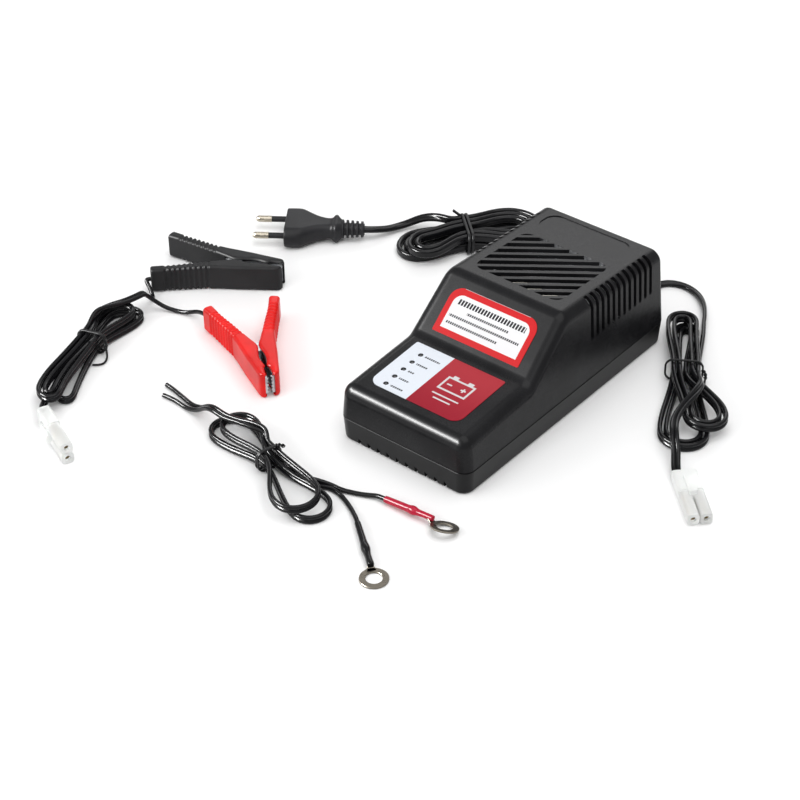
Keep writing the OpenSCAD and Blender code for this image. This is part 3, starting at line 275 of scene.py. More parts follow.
grained("housing_plastic", (0.008, 0.008, 0.009), 0.27)
grained("tray_plastic", (0.008, 0.008, 0.0085), 0.32)
grained("plug_plastic", (0.02, 0.02, 0.022), 0.4, 0.006)
grained("clip_black", (0.016, 0.016, 0.017), 0.42, 0.005)
grained("clip_red", (0.66, 0.012, 0.01), 0.3, 0.004, 1.4, 0.03)
grained("can_sleeve", (0.03, 0.05, 0.16), 0.3, 0.002)
grained("board_green", (0.02, 0.13, 0.05), 0.34, 0.003, 1.2)
grained("bobbin_nylon", (0.72, 0.69, 0.6), 0.45, 0.004)
grained("epoxy_black", (0.02, 0.02, 0.02), 0.5, 0.006)
vinyl("cord_vinyl", (0.007, 0.007, 0.008), 0.17)
vinyl("tie_nylon", (0.012, 0.012, 0.013), 0.34, 0.02)
vinyl("red_vinyl", (0.46, 0.008, 0.035), 0.26)
plain("lens_smoke", (0.035, 0.036, 0.04), 0.16, Coat_Weight=0.5)
plain("clear_nylon", (0.93, 0.94, 0.93), 0.3, Transmission_Weight=0.45, IOR=1.5)
plain("fuse_glass", (0.85, 0.9, 0.9), 0.08, Transmission_Weight=0.8)

# %% Materials of the metals


def metal(name, colour, roughness, stretch=(1, 1, 1), per_mm=0.8, depth=0.004):
    """Plated or bare metal with fine marks along one axis and dull clouds."""
    paint = Paint(name, colour, roughness, 1.0)
    marks = paint.noise(per_mm, 3, stretch)
    clouds = paint.noise(0.25, 3)
    gloss = clouds.ramp(0.35, 0.75) * 0.18 + marks * 0.1 + (roughness - 0.08)
    paint.set("Roughness", gloss)
    paint.set("Base Color", paint.mix(clouds.ramp(0.4, 0.8), colour, [c * 0.72 for c in colour]))
    paint.bump(marks, depth)
    finish[name] = paint.material


metal("plated_steel", (0.5, 0.51, 0.53), 0.34)
metal("spring_steel", (0.42, 0.42, 0.44), 0.32)
metal("pin_nickel", (0.42, 0.38, 0.31), 0.28, (1, 1, 1), 1.2, 0.003)
metal("contact_brass", (0.3, 0.22, 0.11), 0.34, (1, 1, 1), 1.2, 0.003)
metal("terminal_tin", (0.2, 0.18, 0.15), 0.3, (1, 1, 1), 0.6, 0.006)
metal("sink_metal", (0.3, 0.31, 0.33), 0.4, (1, 8, 1))
metal("copper_wire", (0.75, 0.34, 0.14), 0.34, (0.2, 0.2, 6))
metal("core_steel", (0.3, 0.3, 0.32), 0.48, (0.2, 7, 0.2), 0.5, 0.03)

NODE_FINISHES = {
    "plated_steel": ["case_screws", "board_screws", "transformer_bracket"],
    "board_green": ["circuit_board"],
    "core_steel": ["transformer_core"],
    "bobbin_nylon": ["transformer_bobbin"],
    "copper_wire": ["transformer_windings"],
    "can_sleeve": ["filter_capacitors"],
    "epoxy_black": ["rectifier_diodes", "power_transistor", "control_chip"],
    "sink_metal": ["heat_sink"],
    "fuse_glass": ["mains_fuse"],
    "plug_plastic": ["mains_strain_relief", "output_grommet", "plug_pin_sleeves"],
    "pin_nickel": ["mains_plug_pins"],
    "clear_nylon": ["output_connector", "clip_connector"],
    "contact_brass": ["output_contacts", "clip_contacts"],
    "lens_smoke": ["status_leds"],
    "spring_steel": ["black_clip_spring", "red_clip_spring"],
}


def dress(shown, material):
    """Gives a piece or a CAD node one material."""
    shown.data.materials.clear()
    shown.data.materials.append(finish[material])


for material, names in NODE_FINISHES.items():
    for name in names:
        dress(nodes[name], material)
print("materials:", len(finish), "CAD nodes finished:", sum(map(len, NODE_FINISHES.values())))

# %% [markdown]
# ## Meshes from grids of points
#
# A surface is a grid of points, rows along the piece and columns around it. Joining
# neighbours gives its faces. The columns close into a ring, and the first and last rings are
# capped, so every piece is a closed solid: a list of points and a list of faces.

# %% Outlines


def ease(t):
    """Smooth step from 0 to 1: 3t^2 - 2t^3."""
    t = np.clip(t, 0, 1)
    return t * t * (3 - 2 * t)


def round_rect(width, height, radius, steps=6, near=None):
    """Outline of a rounded rectangle around the origin, anticlockwise. The two corners below
    the middle may have a radius of their own."""
    corners = []
    for start, (sx, sy) in zip((0, 90, 180, 270), ((1, 1), (-1, 1), (-1, -1), (1, -1))):
        r = near if near and sy < 0 else radius
        t = np.radians(start + np.linspace(0, 90, steps + 1))
        x, y = sx * (width / 2 - r) + r * np.cos(t), sy * (height / 2 - r) + r * np.sin(t)
        corners.append(np.column_stack([x, y]))
    return np.vstack(corners)


def round_section(diameter, sides=18):
    """Outline of a circle around the origin."""
    angle = np.linspace(0, 2 * np.pi, sides, endpoint=False)
    return diameter / 2 * np.column_stack([np.cos(angle), np.sin(angle)])


# %% Solids


def ring_faces(rows, columns):
    """Quads between neighbouring rings of a grid whose columns close on themselves."""
    i, j = np.meshgrid(np.arange(rows - 1), np.arange(columns), indexing="ij")
    k = (j + 1) % columns
    corners = [i * columns + j, i * columns + k, (i + 1) * columns + k, (i + 1) * columns + j]
    return np.stack(corners, -1).reshape(-1, 4).tolist()


def skin(rings):
    """Points and faces of a closed solid over rings that run anticlockwise about their axis."""
    rings = np.asarray(rings)
    rows, columns = rings.shape[:2]
    near = list(range(columns - 1, -1, -1))
    far = list(range((rows - 1) * columns, rows * columns))
    return rings.reshape(-1, 3), [*ring_faces(rows, columns), near, far]


def loop_skin(rings):
    """The same for rings that go round in a loop, where the last one joins the first."""
    rows, columns = rings.shape[:2]
    faces = [[k % (rows * columns) for k in face] for face in ring_faces(rows + 1, columns)]
    return rings.reshape(-1, 3), faces


def at_x(outline, x):
    """An outline of [y, z] points stood up at x."""
    return np.column_stack([np.full(len(outline), x), outline])


def at_z(outline, z):
    """An outline of [x, y] points laid down at height z."""
    return np.column_stack([outline, np.full(len(outline), z)])


def prism(outline, low, high):
    """An outline of [x, y] points, anticlockwise, raised from one height to another."""
    outline = np.asarray(outline, float)
    return skin([at_z(outline, low), at_z(outline, high)])


def lathe_rings(along, radius, sides, centre=(0, 0)):
    """Circles around a line, one of each radius at each place along it: [along, across, up]."""
    ring = round_section(2, sides)[None] * radius[:, None, None] + centre
    place = np.broadcast_to(along[:, None, None], (*ring.shape[:2], 1))
    return np.concatenate([place, ring], -1)


def joined(solids):
    """Several solids as one list of points and one of faces."""
    points, faces, start = [], [], 0
    for p, f in solids:
        points.append(p)
        faces += [[v + start for v in face] for face in f]
        start += len(p)
    return np.vstack(points), faces


def turning(turns):
    """The matrix of turns in degrees about X, then Y, then Z."""
    whole = np.eye(3)
    for axis, angle in enumerate(np.radians(turns)):
        j, k = (axis + 1) % 3, (axis + 2) % 3
        c, s = math.cos(angle), math.sin(angle)
        turn = np.eye(3)
        turn[[j, j, k, k], [j, k, j, k]] = c, -s, s, c
        whole = turn @ whole
    return whole


def moved(solid, at, turns=(0, 0, 0)):
    """A solid turned in degrees about X, then Y, then Z, and moved."""
    points, faces = solid
    return points @ turning(turns).T + at, faces


def rod(x, y, low, high, radius):
    """An upright rod."""
    return moved(prism(round_section(radius * 2, 40), low, high), (x, y, 0))


def box(x, y, z):
    """A block between limits along each axis."""
    (x0, x1), (y0, y1) = x, y
    return prism([(x0, y0), (x1, y0), (x1, y1), (x0, y1)], *z)


# %% Pieces


def mesh_object(name, solid):
    """A mesh object at the origin, its points in millimetres."""
    points, faces = solid
    mesh = bpy.data.meshes.new(name)
    mesh.from_pydata((points * MM).tolist(), [], faces)
    shown = bpy.data.objects.new(name, mesh)
    bpy.context.scene.collection.objects.link(shown)
    return shown


def settle(shown):
    """Applies every modifier of a piece."""
    graph = bpy.context.evaluated_depsgraph_get()
    result = bpy.data.meshes.new_from_object(shown.evaluated_get(graph))
    shown.modifiers.clear()
    shown.data = result


def combine(shown, operation, solids):
    """Joins closed solids to a closed piece, or cuts them out of it."""
    tools = [mesh_object("tool", solid) for solid in solids]
    for tool in tools:
        change = shown.modifiers.new("change", "BOOLEAN")
        change.operation, change.solver, change.object = operation, "EXACT", tool
    settle(shown)
    for tool in tools:
        bpy.data.objects.remove(tool)


def piece(name, solid, material, slot, *replaced, join=(), cut=(), sharp=None, body="charger"):
    """One finished piece: a solid with others joined to it and cut out of it, smooth but for
    edges sharper than an angle in degrees, with its material, the nodes it stands for and the
    body it moves with. Its slot is not used."""
    shown = mesh_object(name, solid)
    combine(shown, "UNION", join)
    combine(shown, "DIFFERENCE", cut)
    if sharp:
        shown.data.shade_smooth()
        shown.data.set_sharp_from_angle(angle=math.radians(sharp))
        shown.modifiers.new("weighted", "WEIGHTED_NORMAL").keep_sharp = True
        settle(shown)
    dress(shown, material)
    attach(shown, body)
    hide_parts(*replaced)
    print(name, "faces:", len(shown.data.polygons))
    return shown


# %% [markdown]
# ## Cords
#
# Each lead is one unbroken piece from the point where it leaves its housing to what is on its
# far end. A Bezier curve with a bevel would be quick, but a twin flex isn't round: its section
# is two cores side by side. So a section is carried along the route, and a fourth number on
# every route point says how far the flat of the cord is rolled.

# %% Routes
ROUNDING_PASSES = 6


def spline(points, steps):
    """Smooth curve through points: on each stretch from b to c, with a before and d after,
    (2b + (c-a)t + (2a-5b+4c-d)t^2 + (3b-a-3c+d)t^3) / 2."""
    p = np.asarray(points, float)
    q = np.vstack([p[:1], p, p[-1:]])
    a, b, c, d = (part[:, None, :] for part in (q[:-3], q[1:-2], q[2:-1], q[3:]))
    t = (np.arange(steps) / steps)[None, :, None]
    square = (2 * a - 5 * b + 4 * c - d) * t**2
    curve = (2 * b + (c - a) * t + square + (3 * b - a - 3 * c + d) * t**3) / 2
    return np.vstack([curve.reshape(-1, p.shape[1]), p[-1:]])


def distances(points):
    """Distance along a route to each of its points."""
    return np.r_[0, np.cumsum(np.linalg.norm(np.diff(points[:, :3], axis=0), axis=1))]


def evened(points, step):
    """A route with points an even step apart. Each pass moves a point half way to the middle
    of its neighbours, which rounds the joins a little."""
    along = distances(points)
    even = np.linspace(0, along[-1], int(along[-1] / step) + 1)
    p = np.column_stack([np.interp(even, along, column) for column in points.T])
    for _ in range(ROUNDING_PASSES):
        p[1:-1] = p[1:-1] / 2 + (p[:-2] + p[2:]) / 4
    return p


# %% [markdown]
# A hank is a cord folded back and forth about a tie. Seen from above each loop is a narrow
# figure: two straight runs, drawn in at the waist, and a half circle at each end. The loops
# spiral inwards on the lower layer and outwards on the upper one.

# %% Hanks
RUN_SHARE = 0.45
CLIMB_TURN = 0.1
TURN_STEPS = 120
BOW_AT = 50
TIE_THICK, TIE_CLEAR, TIE_REACH = 1.1, 0.2, 26
CORE = 2.5
FLEX_WIDE = 2 * CORE
MAINS_WIDE, MAINS_THICK = 5.2, 3.2
ON_EDGE = 90.0


def hank(middle, angle, turn, ahead, behind, waist, step, turns, layer, bow, high, thick, fan):
    """All that describes a hank, in millimetres and degrees. turns holds its first turn, the
    turn of the climb and its last turn; ahead and behind hold a run and a fold's radius; fan
    holds how far the upper folds are shifted along and across, ahead and then behind."""
    return SimpleNamespace(**locals())


MAINS_HANK = hank(
    (-106, 101), 48, 1, (33, 18.6), (28, 15.6), 12.4, 4.4, (0.35, 3, 5.5), 5.9, -6,
    MAINS_WIDE, MAINS_THICK, ((-4, 3), (-3, -7)),
)
OUTPUT_HANK = hank(
    (73, 64.5), -58.5, -1, (51, 14), (42.7, 9.3), 8, 3.4, (-0.12, 2, 4), 5.7, 1,
    FLEX_WIDE, CORE, ((-9, 12), (1.5, -3.4)),
)
CLIP_HANK = hank(
    (-202.2, -117.8), 108, -1, (31, 11.6), (46, 7.8), 6.2, 3.6, (-0.1, 1.5, 3), 5.7, -8,
    FLEX_WIDE, CORE, ((-3, 2), (6.5, 5)),
)
RING_HANK = hank(
    (-53.5, -135), -15, 1, (41.5, 13.4), (35.5, 12), 4.9, 3.4, (0.46, 1.5, 2.5), 5.7, -2,
    FLEX_WIDE, CORE, ((-7, -5), (-5, 3)),
)


def on_hank(h, u, v, z, roll):
    """Places given along and across a hank, with their height and the cord's roll there."""
    a = math.radians(h.angle)
    x = h.middle[0] + u * math.cos(a) - v * math.sin(a)
    return x, h.middle[1] + u * math.sin(a) + v * math.cos(a), z, roll


def hank_points(h, s):
    """Places along a hank at turn numbers s. In each quarter turn the cord first runs straight
    from the waist, easing out to the fold's radius, and then goes round a quarter circle."""
    first, climb, _ = h.turns
    quarter = (s - np.floor(s)) * 4
    k = np.floor(quarter)
    t = np.where(k % 2 == 0, quarter - k, 1 - quarter + k)
    way = np.where(k < 2, 1, -1)
    length, radius = (np.where(k < 2, a, b) for a, b in zip(h.ahead, h.behind))
    fan_u, fan_v = (np.where(k < 2, a, b) for a, b in zip(*h.fan))
    off = h.step * np.minimum(s - first, 2 * climb - first - s)
    r, w = radius - off, h.waist - off
    run = length * np.minimum(t / RUN_SHARE, 1)
    fold = np.pi / 2 * np.maximum((t - RUN_SHARE) / (1 - RUN_SHARE), 0)
    u = np.where(t < RUN_SHARE, run, length + r * np.sin(fold)) * way
    v = np.where(t < RUN_SHARE, w + (r - w) * ease(run / length), r * np.cos(fold))
    v = v * np.where((k == 0) | (k == 3), -1, 1) * h.turn + h.bow * (u / BOW_AT) ** 2
    rise = np.clip((s - climb) / CLIMB_TURN + 0.5, 0, 1)
    out = rise * ease(run / length)
    u, v = u + out * fan_u * way, v + out * fan_v
    over_tie = (TIE_THICK + TIE_CLEAR) * (1 - ease(np.abs(u) / TIE_REACH))
    z = h.high / 2 + h.layer * rise + over_tie
    return np.column_stack(on_hank(h, u, v, z, np.full(len(s), ON_EDGE)))


def hank_end(h, last, out=5):
    """The point a few millimetres before a hank's first turn or after its last one."""
    s = h.turns[2 if last else 0]
    here, before, after = hank_points(h, np.array([s, s - 0.004, s + 0.004]))
    ahead = (after - before)[:3]
    shift = ahead / np.linalg.norm(ahead) * (out if last else -out)
    return np.r_[here[:3] + shift, ON_EDGE]


def whole_route(start, h, end):
    """A free stretch, a hank and a free stretch as one route. The free stretches meet the
    hank's ends on a straight line, and the second may be missing."""
    first, _, last = h.turns
    turns = np.linspace(first, last, int((last - first) * TURN_STEPS))
    ends = [(hank_end(h, far), hank_end(h, far, 8)) for far in (False, True)]
    parts = [spline([*start, *ends[0][::-1]], 12)[:-1], ends[0][:1], hank_points(h, turns)]
    parts.append(ends[1][:1])
    if end:
        parts.append(spline([*ends[1], *end], 12)[1:])
    return np.vstack(parts)


# %% Free stretches
REAR = 91.5
RELIEF = 26.0
ENTRY_HIGH = 8.0
PLUG_AT, PLUG_TURN = (-157.2, 66.4, 6.9), 180 + 35.6
OUTPUT_PLUG = (118.4, -10.6, 4.0), -44
CLIP_PLUG = (-172.7, -182.6, 6.9), -24
CLIP_FORK = (-208, -74, 12), 80
RING_FORK = (-15.6, -127.8, 1.4), 0


def into(at, angle, roll, run=4):
    """Two points on the straight line into a fitting, the end last."""
    a = math.radians(angle)
    return [(at[0] - d * math.cos(a), at[1] - d * math.sin(a), at[2], roll) for d in (run, 0)]


def beside(h, *places):
    """Points given along, across and up a hank, each with a roll."""
    return [on_hank(h, *place) for place in places]


MAINS_EXIT = [
    (-22, REAR + RELIEF, ENTRY_HIGH, 0), (-22, 124, 7, 0), (-24, 134, 4, 10),
    (-32, 143, 2.2, 30), (-46, 148, 2.6, 60), (-62, 146, 2.7, 90),
]
MAINS_END = [
    (-128, 101.8, 9.4, 60), (-137, 97.8, 7.6, 30), (-144, 91.4, 4, 10), (-148.6, 84, 3, 0),
    (-150.2, 77, 4.6, 0), *into(PLUG_AT, PLUG_TURN, 0),
]
OUTPUT_EXIT = [
    (14, REAR + 5, ENTRY_HIGH, 0), (14, 104, 6.4, 0), (12, 115, 2.4, 0), (10, 127, 1.4, 0),
    (13, 137.2, 1.4, 0), (22.8, 141.6, 1.4, 10), (33.4, 139.2, 1.7, 30), (42.5, 132, 2.2, 60),
    (49.4, 122.6, 2.5, 90),
]
OUTPUT_END = [
    *beside(
        OUTPUT_HANK, (19, 9.6, 12.6, 60), (29, 6.5, 13.4, 20), (40, 0.5, 12.4, 0),
        (53, -3.6, 12.3, 0), (65.4, -3.4, 12.2, 0), (74, -2, 8, 0),
    ),
    *into(*OUTPUT_PLUG, 0),
]
CLIP_EXIT = [*into(*CLIP_PLUG, ON_EDGE)[::-1], (-181.6, -175, 5.2, ON_EDGE)]
CLIP_END = [
    *beside(CLIP_HANK, (17, 6.4, 13.8, 60), (26, 2, 13.6, 20), (34, -3.6, 12.6, 0)),
    *into(*CLIP_FORK, 0, 3),
]
RING_EXIT = [*into(*RING_FORK, 0, 2)[::-1], *beside(RING_HANK, (28.5, 12.4, 2.2, 45))]

# %% [markdown]
# The section of a twin flex is two circles that touch, with a narrow web between them. It is
# given as height over width: the height of the nearer circle there, but never less than the
# web. The mains cord is the same with a nearly flat middle.

# %% Cord sections


def twin_section(wide, thick, web, sides=28):
    """Outline of two cores side by side: at each width, the height of the nearer core."""
    angle = np.linspace(0, 2 * np.pi, sides, endpoint=False)
    x = wide / 2 * np.cos(angle)
    from_core = np.abs(x) - (wide - thick) / 2
    height = np.sqrt(np.maximum((thick / 2) ** 2 - from_core**2, 0))
    height = np.where(from_core < 0, np.maximum(height, web / 2), height)
    return np.column_stack([x, height * np.sign(np.sin(angle).round(9))])


def cord_mesh(route, section):
    """Carries a section along a route. Across lies level and square to the route; the roll
    turns the section about the route."""
    p = route[:, :3]
    ahead = np.gradient(p, axis=0)
    ahead /= np.linalg.norm(ahead, axis=1)[:, None]
    across = np.cross(ahead, [0, 0, 1.0])
    across /= np.linalg.norm(across, axis=1)[:, None]
    up = np.cross(across, ahead)
    roll = np.radians(route[:, 3])[:, None]
    wide = across * np.cos(roll) + up * np.sin(roll)
    thin = up * np.cos(roll) - across * np.sin(roll)
    x, y = section[:, 0][None, :, None], section[:, 1][None, :, None]
    return skin(p[:, None, :] + wide[:, None, :] * x - thin[:, None, :] * y)


MAINS_FLEX = twin_section(MAINS_WIDE, MAINS_THICK, MAINS_THICK * 0.9), MAINS_WIDE, 1.5
TWIN_FLEX = twin_section(FLEX_WIDE, CORE, CORE * 0.35), FLEX_WIDE, 1.5
ONE_CORE = round_section(CORE), CORE, 0.8


def cord(name, kind, route, far_end, with_pieces, *replaced):
    """A whole lead as one piece, whose length it prints. A kind is a section, its width and the
    step between the rings that carry it."""
    section, diameter, step = kind
    route = evened(route, step)
    lead = piece(
        name, cord_mesh(route, section), "cord_vinyl", "cord_black", *replaced, sharp=60
    )
    path = route[:, :3] * MM
    length = distances(route)[-1] * MM
    print(name, "length in metres:", round(length, 3))


# %% [markdown]
# ## The mains plug
#
# The plug is moulded straight onto its cord. Its body grows from the cord's oval to a broad
# flat end, so it is lofted over rounded rectangles whose width, height and corner are smooth
# functions of the distance along it. The bend relief behind it is a row of turned rings.

# %% Plug body
PLUG_KEYS = [
    (13, 10.5, 9.6, 4), (14.6, 12.6, 10.8, 4), (16.4, 17, 12.9, 4.4), (17.8, 16.8, 12.7, 4.4),
    (19.4, 13.8, 10.9, 4.2), (21.4, 13.2, 10.2, 4), (24.5, 14.2, 10.4, 4), (28.5, 17.4, 11.2, 4.4),
    (33, 23.6, 12, 5), (37, 29.6, 12.8, 5.6), (39.5, 31.4, 13.3, 6), (42, 31.6, 13.4, 6),
    (46.4, 31.4, 13.3, 6), (47.3, 30.9, 12.8, 5.8), (47.6, 29.6, 11.6, 5.2),
]
RELIEF_LONG, COLLAR_PITCH = 13.4, 2.95
NECK, NECK_TAPER, COLLAR, COLLAR_TAPER = 3.5, 0.03, 1.25, 0.045


def plug_body():
    """Rounded rectangles along the plug, with the keys joined by a smooth curve."""
    keys = spline(PLUG_KEYS, 5)
    return skin([at_x(round_rect(wide, high, r, 7), x) for x, wide, high, r in keys])


def plug_relief():
    """Turned rings behind the plug: a neck with a collar on each wave of a clipped sine."""
    x = np.linspace(0, RELIEF_LONG, 160)
    wave = (x - 0.35) / COLLAR_PITCH * 2 * np.pi - 0.4
    collar = ease(np.sin(wave) * 1.8 + 0.6)
    radius = NECK + x * NECK_TAPER + (COLLAR + x * COLLAR_TAPER) * collar
    return skin(lathe_rings(x, radius, 48))


plug = piece(
    "plug_body", moved(joined([plug_body(), plug_relief()]), PLUG_AT, (0, 0, PLUG_TURN)),
    "plug_plastic", "cord_black", "mains_plug", sharp=40,
)

# %% [markdown]
# ## Battery clips
#
# Each clip is two mirrored halves on a pivot pin. A half is a moulded grip over a folded steel
# jaw. The grip's section is a rounded rectangle that spans from an inner line to an outer
# line, both given as points in plan. Ribs are made by drawing the section in between them.

# %% Grips
CLIP_HIGH = 16
BLACK_CLIP = (-187.2, -15.5, 0), 26.6
RED_CLIP = (-117.7, -71.7, 0), -35.2
OUTER = np.array([
    (-44.6, 22.7), (-36, 19.7), (-24, 15.8), (-15, 12.9), (-8, 11.3), (0, 10.2), (8, 9.1),
    (16, 7.7), (22, 6.7), (26, 5.9), (28.2, 4.7), (29.3, 2.9),
])
INNER = np.array([
    (-46.8, 16.6), (-36, 13.4), (-24, 8.9), (-15, 5.6), (-8, 2.9), (-2, 0.5), (2, 0.35),
    (6, 1.2), (10, 1.7), (14, 1.5), (18, 0.6), (20, 0.7), (22, 1.6), (29.3, 1.8),
])
JAW_BACK = -20
JAW_X = np.array([JAW_BACK, -15, -8, 0, 8, 19, 25, 27])
RIBS, RIB_PITCH, RIB_START, RIB_DEEP = 9, 2.85, -37.5, 0.75
HANDLE_DROP, CORNER, CHEEK = 0.6, 1.9, 1.3
TAIL_ROUND, NOSE_ROUND = 1.3, 2.2


def smooth_line(points, x):
    """Height of a line through points at each x, with its corners eased."""
    fine = spline(points, 8)
    return np.interp(x, fine[:, 0], fine[:, 1])


def under_skin(x):
    """The inside of the plastic: 1.5 mm under the outer line, and 2.5 mm at the nose."""
    return smooth_line(OUTER, x) - np.interp(x, [18, 24], [1.5, 2.5])


def rib_inset(x):
    """0 on the crests of the ribs and outside them, else a cosine wave down to the rib depth."""
    wave = (x - RIB_START) / RIB_PITCH
    inside = (wave > 0) & (wave < RIBS)
    return np.where(inside, RIB_DEEP * (0.5 - 0.5 * np.cos(2 * np.pi * wave)) ** 0.8, 0)


def rounded_end(distance, radius):
    """How far a round of that radius draws a side in, at each distance from the end."""
    return radius - np.sqrt(radius**2 - np.maximum(radius - distance, 0) ** 2)


def grip_half():
    """Rounded rectangles from the inner to the outer line, drawn in to a round at each end."""
    share = (1 - np.cos(np.linspace(0, np.pi, 361))) * 0.04 + np.linspace(0, 1, 361) * 0.92
    x_out, x_in = (line[0, 0] + share * (line[-1, 0] - line[0, 0]) for line in (OUTER, INNER))
    y_out, y_in = smooth_line(OUTER, x_out), smooth_line(INNER, x_in)
    inset = rib_inset(x_out)
    drop = np.interp(x_out, [-50, -20], [HANDLE_DROP, 0]) + inset * 0.8
    draw = rounded_end(x_out - x_out[0], TAIL_ROUND) + rounded_end(x_out[-1] - x_out, NOSE_ROUND)
    across = np.column_stack([x_out - x_in, y_out - y_in])
    width = np.linalg.norm(across, axis=1)
    across /= width[:, None]
    size = width - inset - 2 * np.minimum(draw, width * 0.4)
    tall = CLIP_HIGH - 2 * (drop + draw)
    middle = np.column_stack([x_in, y_in]) + across * ((width - inset) / 2)[:, None]
    rings = []
    for w, t, centre, way in zip(size, tall, middle, across):
        outline = round_rect(w, t, min(CORNER, w * 0.42))
        rings.append(np.column_stack([centre + outline[:, :1] * way, outline[:, 1]]))
    return skin(np.array(rings)[:, ::-1] + (0, 0, CLIP_HIGH / 2))


def grip_hollow():
    """The room for the steel jaw inside a grip: open towards the other grip from the pivot
    forwards, and closed by a skin behind it."""
    line = [(x, under_skin(x)) for x in JAW_X]
    outline = [*line, (31, 2.4), (31, -4), (-7, -4), (-7, 3.8), (JAW_BACK, 8.7)]
    return prism(outline[::-1], CHEEK, CLIP_HIGH - CHEEK)


# %% Jaws
STEEL, PIVOT, EAR, PIVOT_GAP, SKIN_GAP = 1.0, 1.5, 4.2, 0.1, 0.05
NOSE_START, NOSE_END, NOSE_FOOT = 26.9, 28, 2.6
TEETH, TOOTH_LOW, TOOTH_TALL = 5, 0.65, 0.9
MOVING_FLANGE, FIXED_FLANGE = 2.7, 1.5


def jaw_steel(low, high):
    """Two flanges, a web between them along the grip, and a round ear at the pivot."""
    outer = under_skin(JAW_X) - SKIN_GAP
    inner = np.maximum(smooth_line(INNER, JAW_X) + 0.5, 0.9)
    back = np.column_stack([JAW_X, outer])[::-1]
    flange, web = (np.vstack([np.column_stack([JAW_X, y]), back]) for y in (inner, outer - STEEL))
    plates = [prism(flange, z, z + STEEL) for z in (low, high - STEEL)]
    ears = [rod(0, 0, z, z + STEEL, EAR) for z in (low - 0.01, high - STEEL + 0.01)]
    return [*plates, *ears, prism(web, low, high)]


def jaw_nose(low, high, phase):
    """The folded nose: a plate across the mouth whose free edge is a row of teeth. The edge
    is a triangle wave of the height, and the two jaws' waves are half a tooth apart."""
    z = np.linspace(low, high, 2 * TEETH + 1)
    edge = TOOTH_LOW + TOOTH_TALL * ((np.arange(2 * TEETH + 1) + phase) % 2)
    outline = np.vstack([np.column_stack([edge, z]), [(NOSE_FOOT, high), (NOSE_FOOT, low)]])
    points, faces = prism(outline, NOSE_START, NOSE_END)
    return points[:, [2, 0, 1]], faces


def half_placed(solid, at, turn, mirror):
    """A half's solid at its clip's place, mirrored for the fixed half."""
    points, faces = solid
    if mirror:
        points, faces = points * (1, -1, 1), [face[::-1] for face in faces]
    return moved((points, faces), at, (0, 0, turn))


jaws = {}
for colour, clip in (("black", BLACK_CLIP), ("red", RED_CLIP)):
    for half in ("moving", "fixed"):
        fixed = half == "fixed"
        body = "charger" if fixed else f"{colour}_clip_jaw"
        low = FIXED_FLANGE if fixed else MOVING_FLANGE
        grip, hollow, nose, *steel = [
            half_placed(solid, *clip, fixed)
            for solid in (
                grip_half(), grip_hollow(), jaw_nose(NOSE_FOOT, CLIP_HIGH - NOSE_FOOT, fixed),
                *jaw_steel(low, CLIP_HIGH - low),
            )
        ]
        piece(
            f"{colour}_{half}_grip", grip, f"clip_{colour}", f"clip_{colour}",
            f"{colour}_clip_{half}_grip", cut=[hollow], sharp=35, body=body,
        )
        at = clip[0][:2]
        pin = [rod(*at, low, CLIP_HIGH - low, PIVOT)] if fixed else []
        bore = [] if fixed else [rod(*at, 0, CLIP_HIGH, PIVOT + PIVOT_GAP)]
        jaws[colour] = piece(
            f"{colour}_{half}_jaw", steel[0], "plated_steel", "jaw_steel",
            f"{colour}_clip_{half}_jaw", join=[*steel[1:], nose, *pin], cut=bore, sharp=35,
            body=body,
        )

# %% Leads of the charger and of the clips
cord(
    "mains_cord", MAINS_FLEX, whole_route(MAINS_EXIT, MAINS_HANK, MAINS_END), "plug",
    [plug, "mains_plug_pins", "plug_pin_sleeves"],
    "mains_cord_exit", "mains_cord_hank", "mains_cord_end",
)
cord(
    "output_cord", TWIN_FLEX, whole_route(OUTPUT_EXIT, OUTPUT_HANK, OUTPUT_END), "connector",
    ["output_connector", "output_contacts"],
    "output_cord_exit", "output_cord_hank", "output_cord_end",
)
cord(
    "clip_cord", TWIN_FLEX, whole_route(CLIP_EXIT, CLIP_HANK, CLIP_END), "object", [],
    "clip_cord_end", "clip_cord_hank", "clip_cord_split",
)

# %% [markdown]
# Where a twin flex parts, each core starts beside the middle of the flex, half a core to its
# side. A clip's core runs into the end of its grip, which is found from the clip's own place
# and turn.

# %% Cores of the clip lead
GRIP_END, GRIP_END_TURN = (-45.6, -19.85), 180 + 19.3
CORE_INSIDE = 22


def core_start(fork, heading, side):
    """The first 3 mm of one core beside a fork; side is -1 or 1."""
    a = math.radians(heading)
    x, y = fork[0] - side * math.sin(a) * CORE / 2, fork[1] + side * math.cos(a) * CORE / 2
    return [(x + out * math.cos(a), y + out * math.sin(a), fork[2], 0) for out in (0, 3)]


def grip_lead(at, turn, *outs):
    """Points at distances out of the end of a clip's fixed grip."""
    a, b = math.radians(turn), math.radians(turn + GRIP_END_TURN)
    x = at[0] + GRIP_END[0] * math.cos(a) - GRIP_END[1] * math.sin(a)
    y = at[1] + GRIP_END[0] * math.sin(a) + GRIP_END[1] * math.cos(a)
    return [(x + d * math.cos(b), y + d * math.sin(b), CLIP_HIGH / 2, 0) for d in outs]


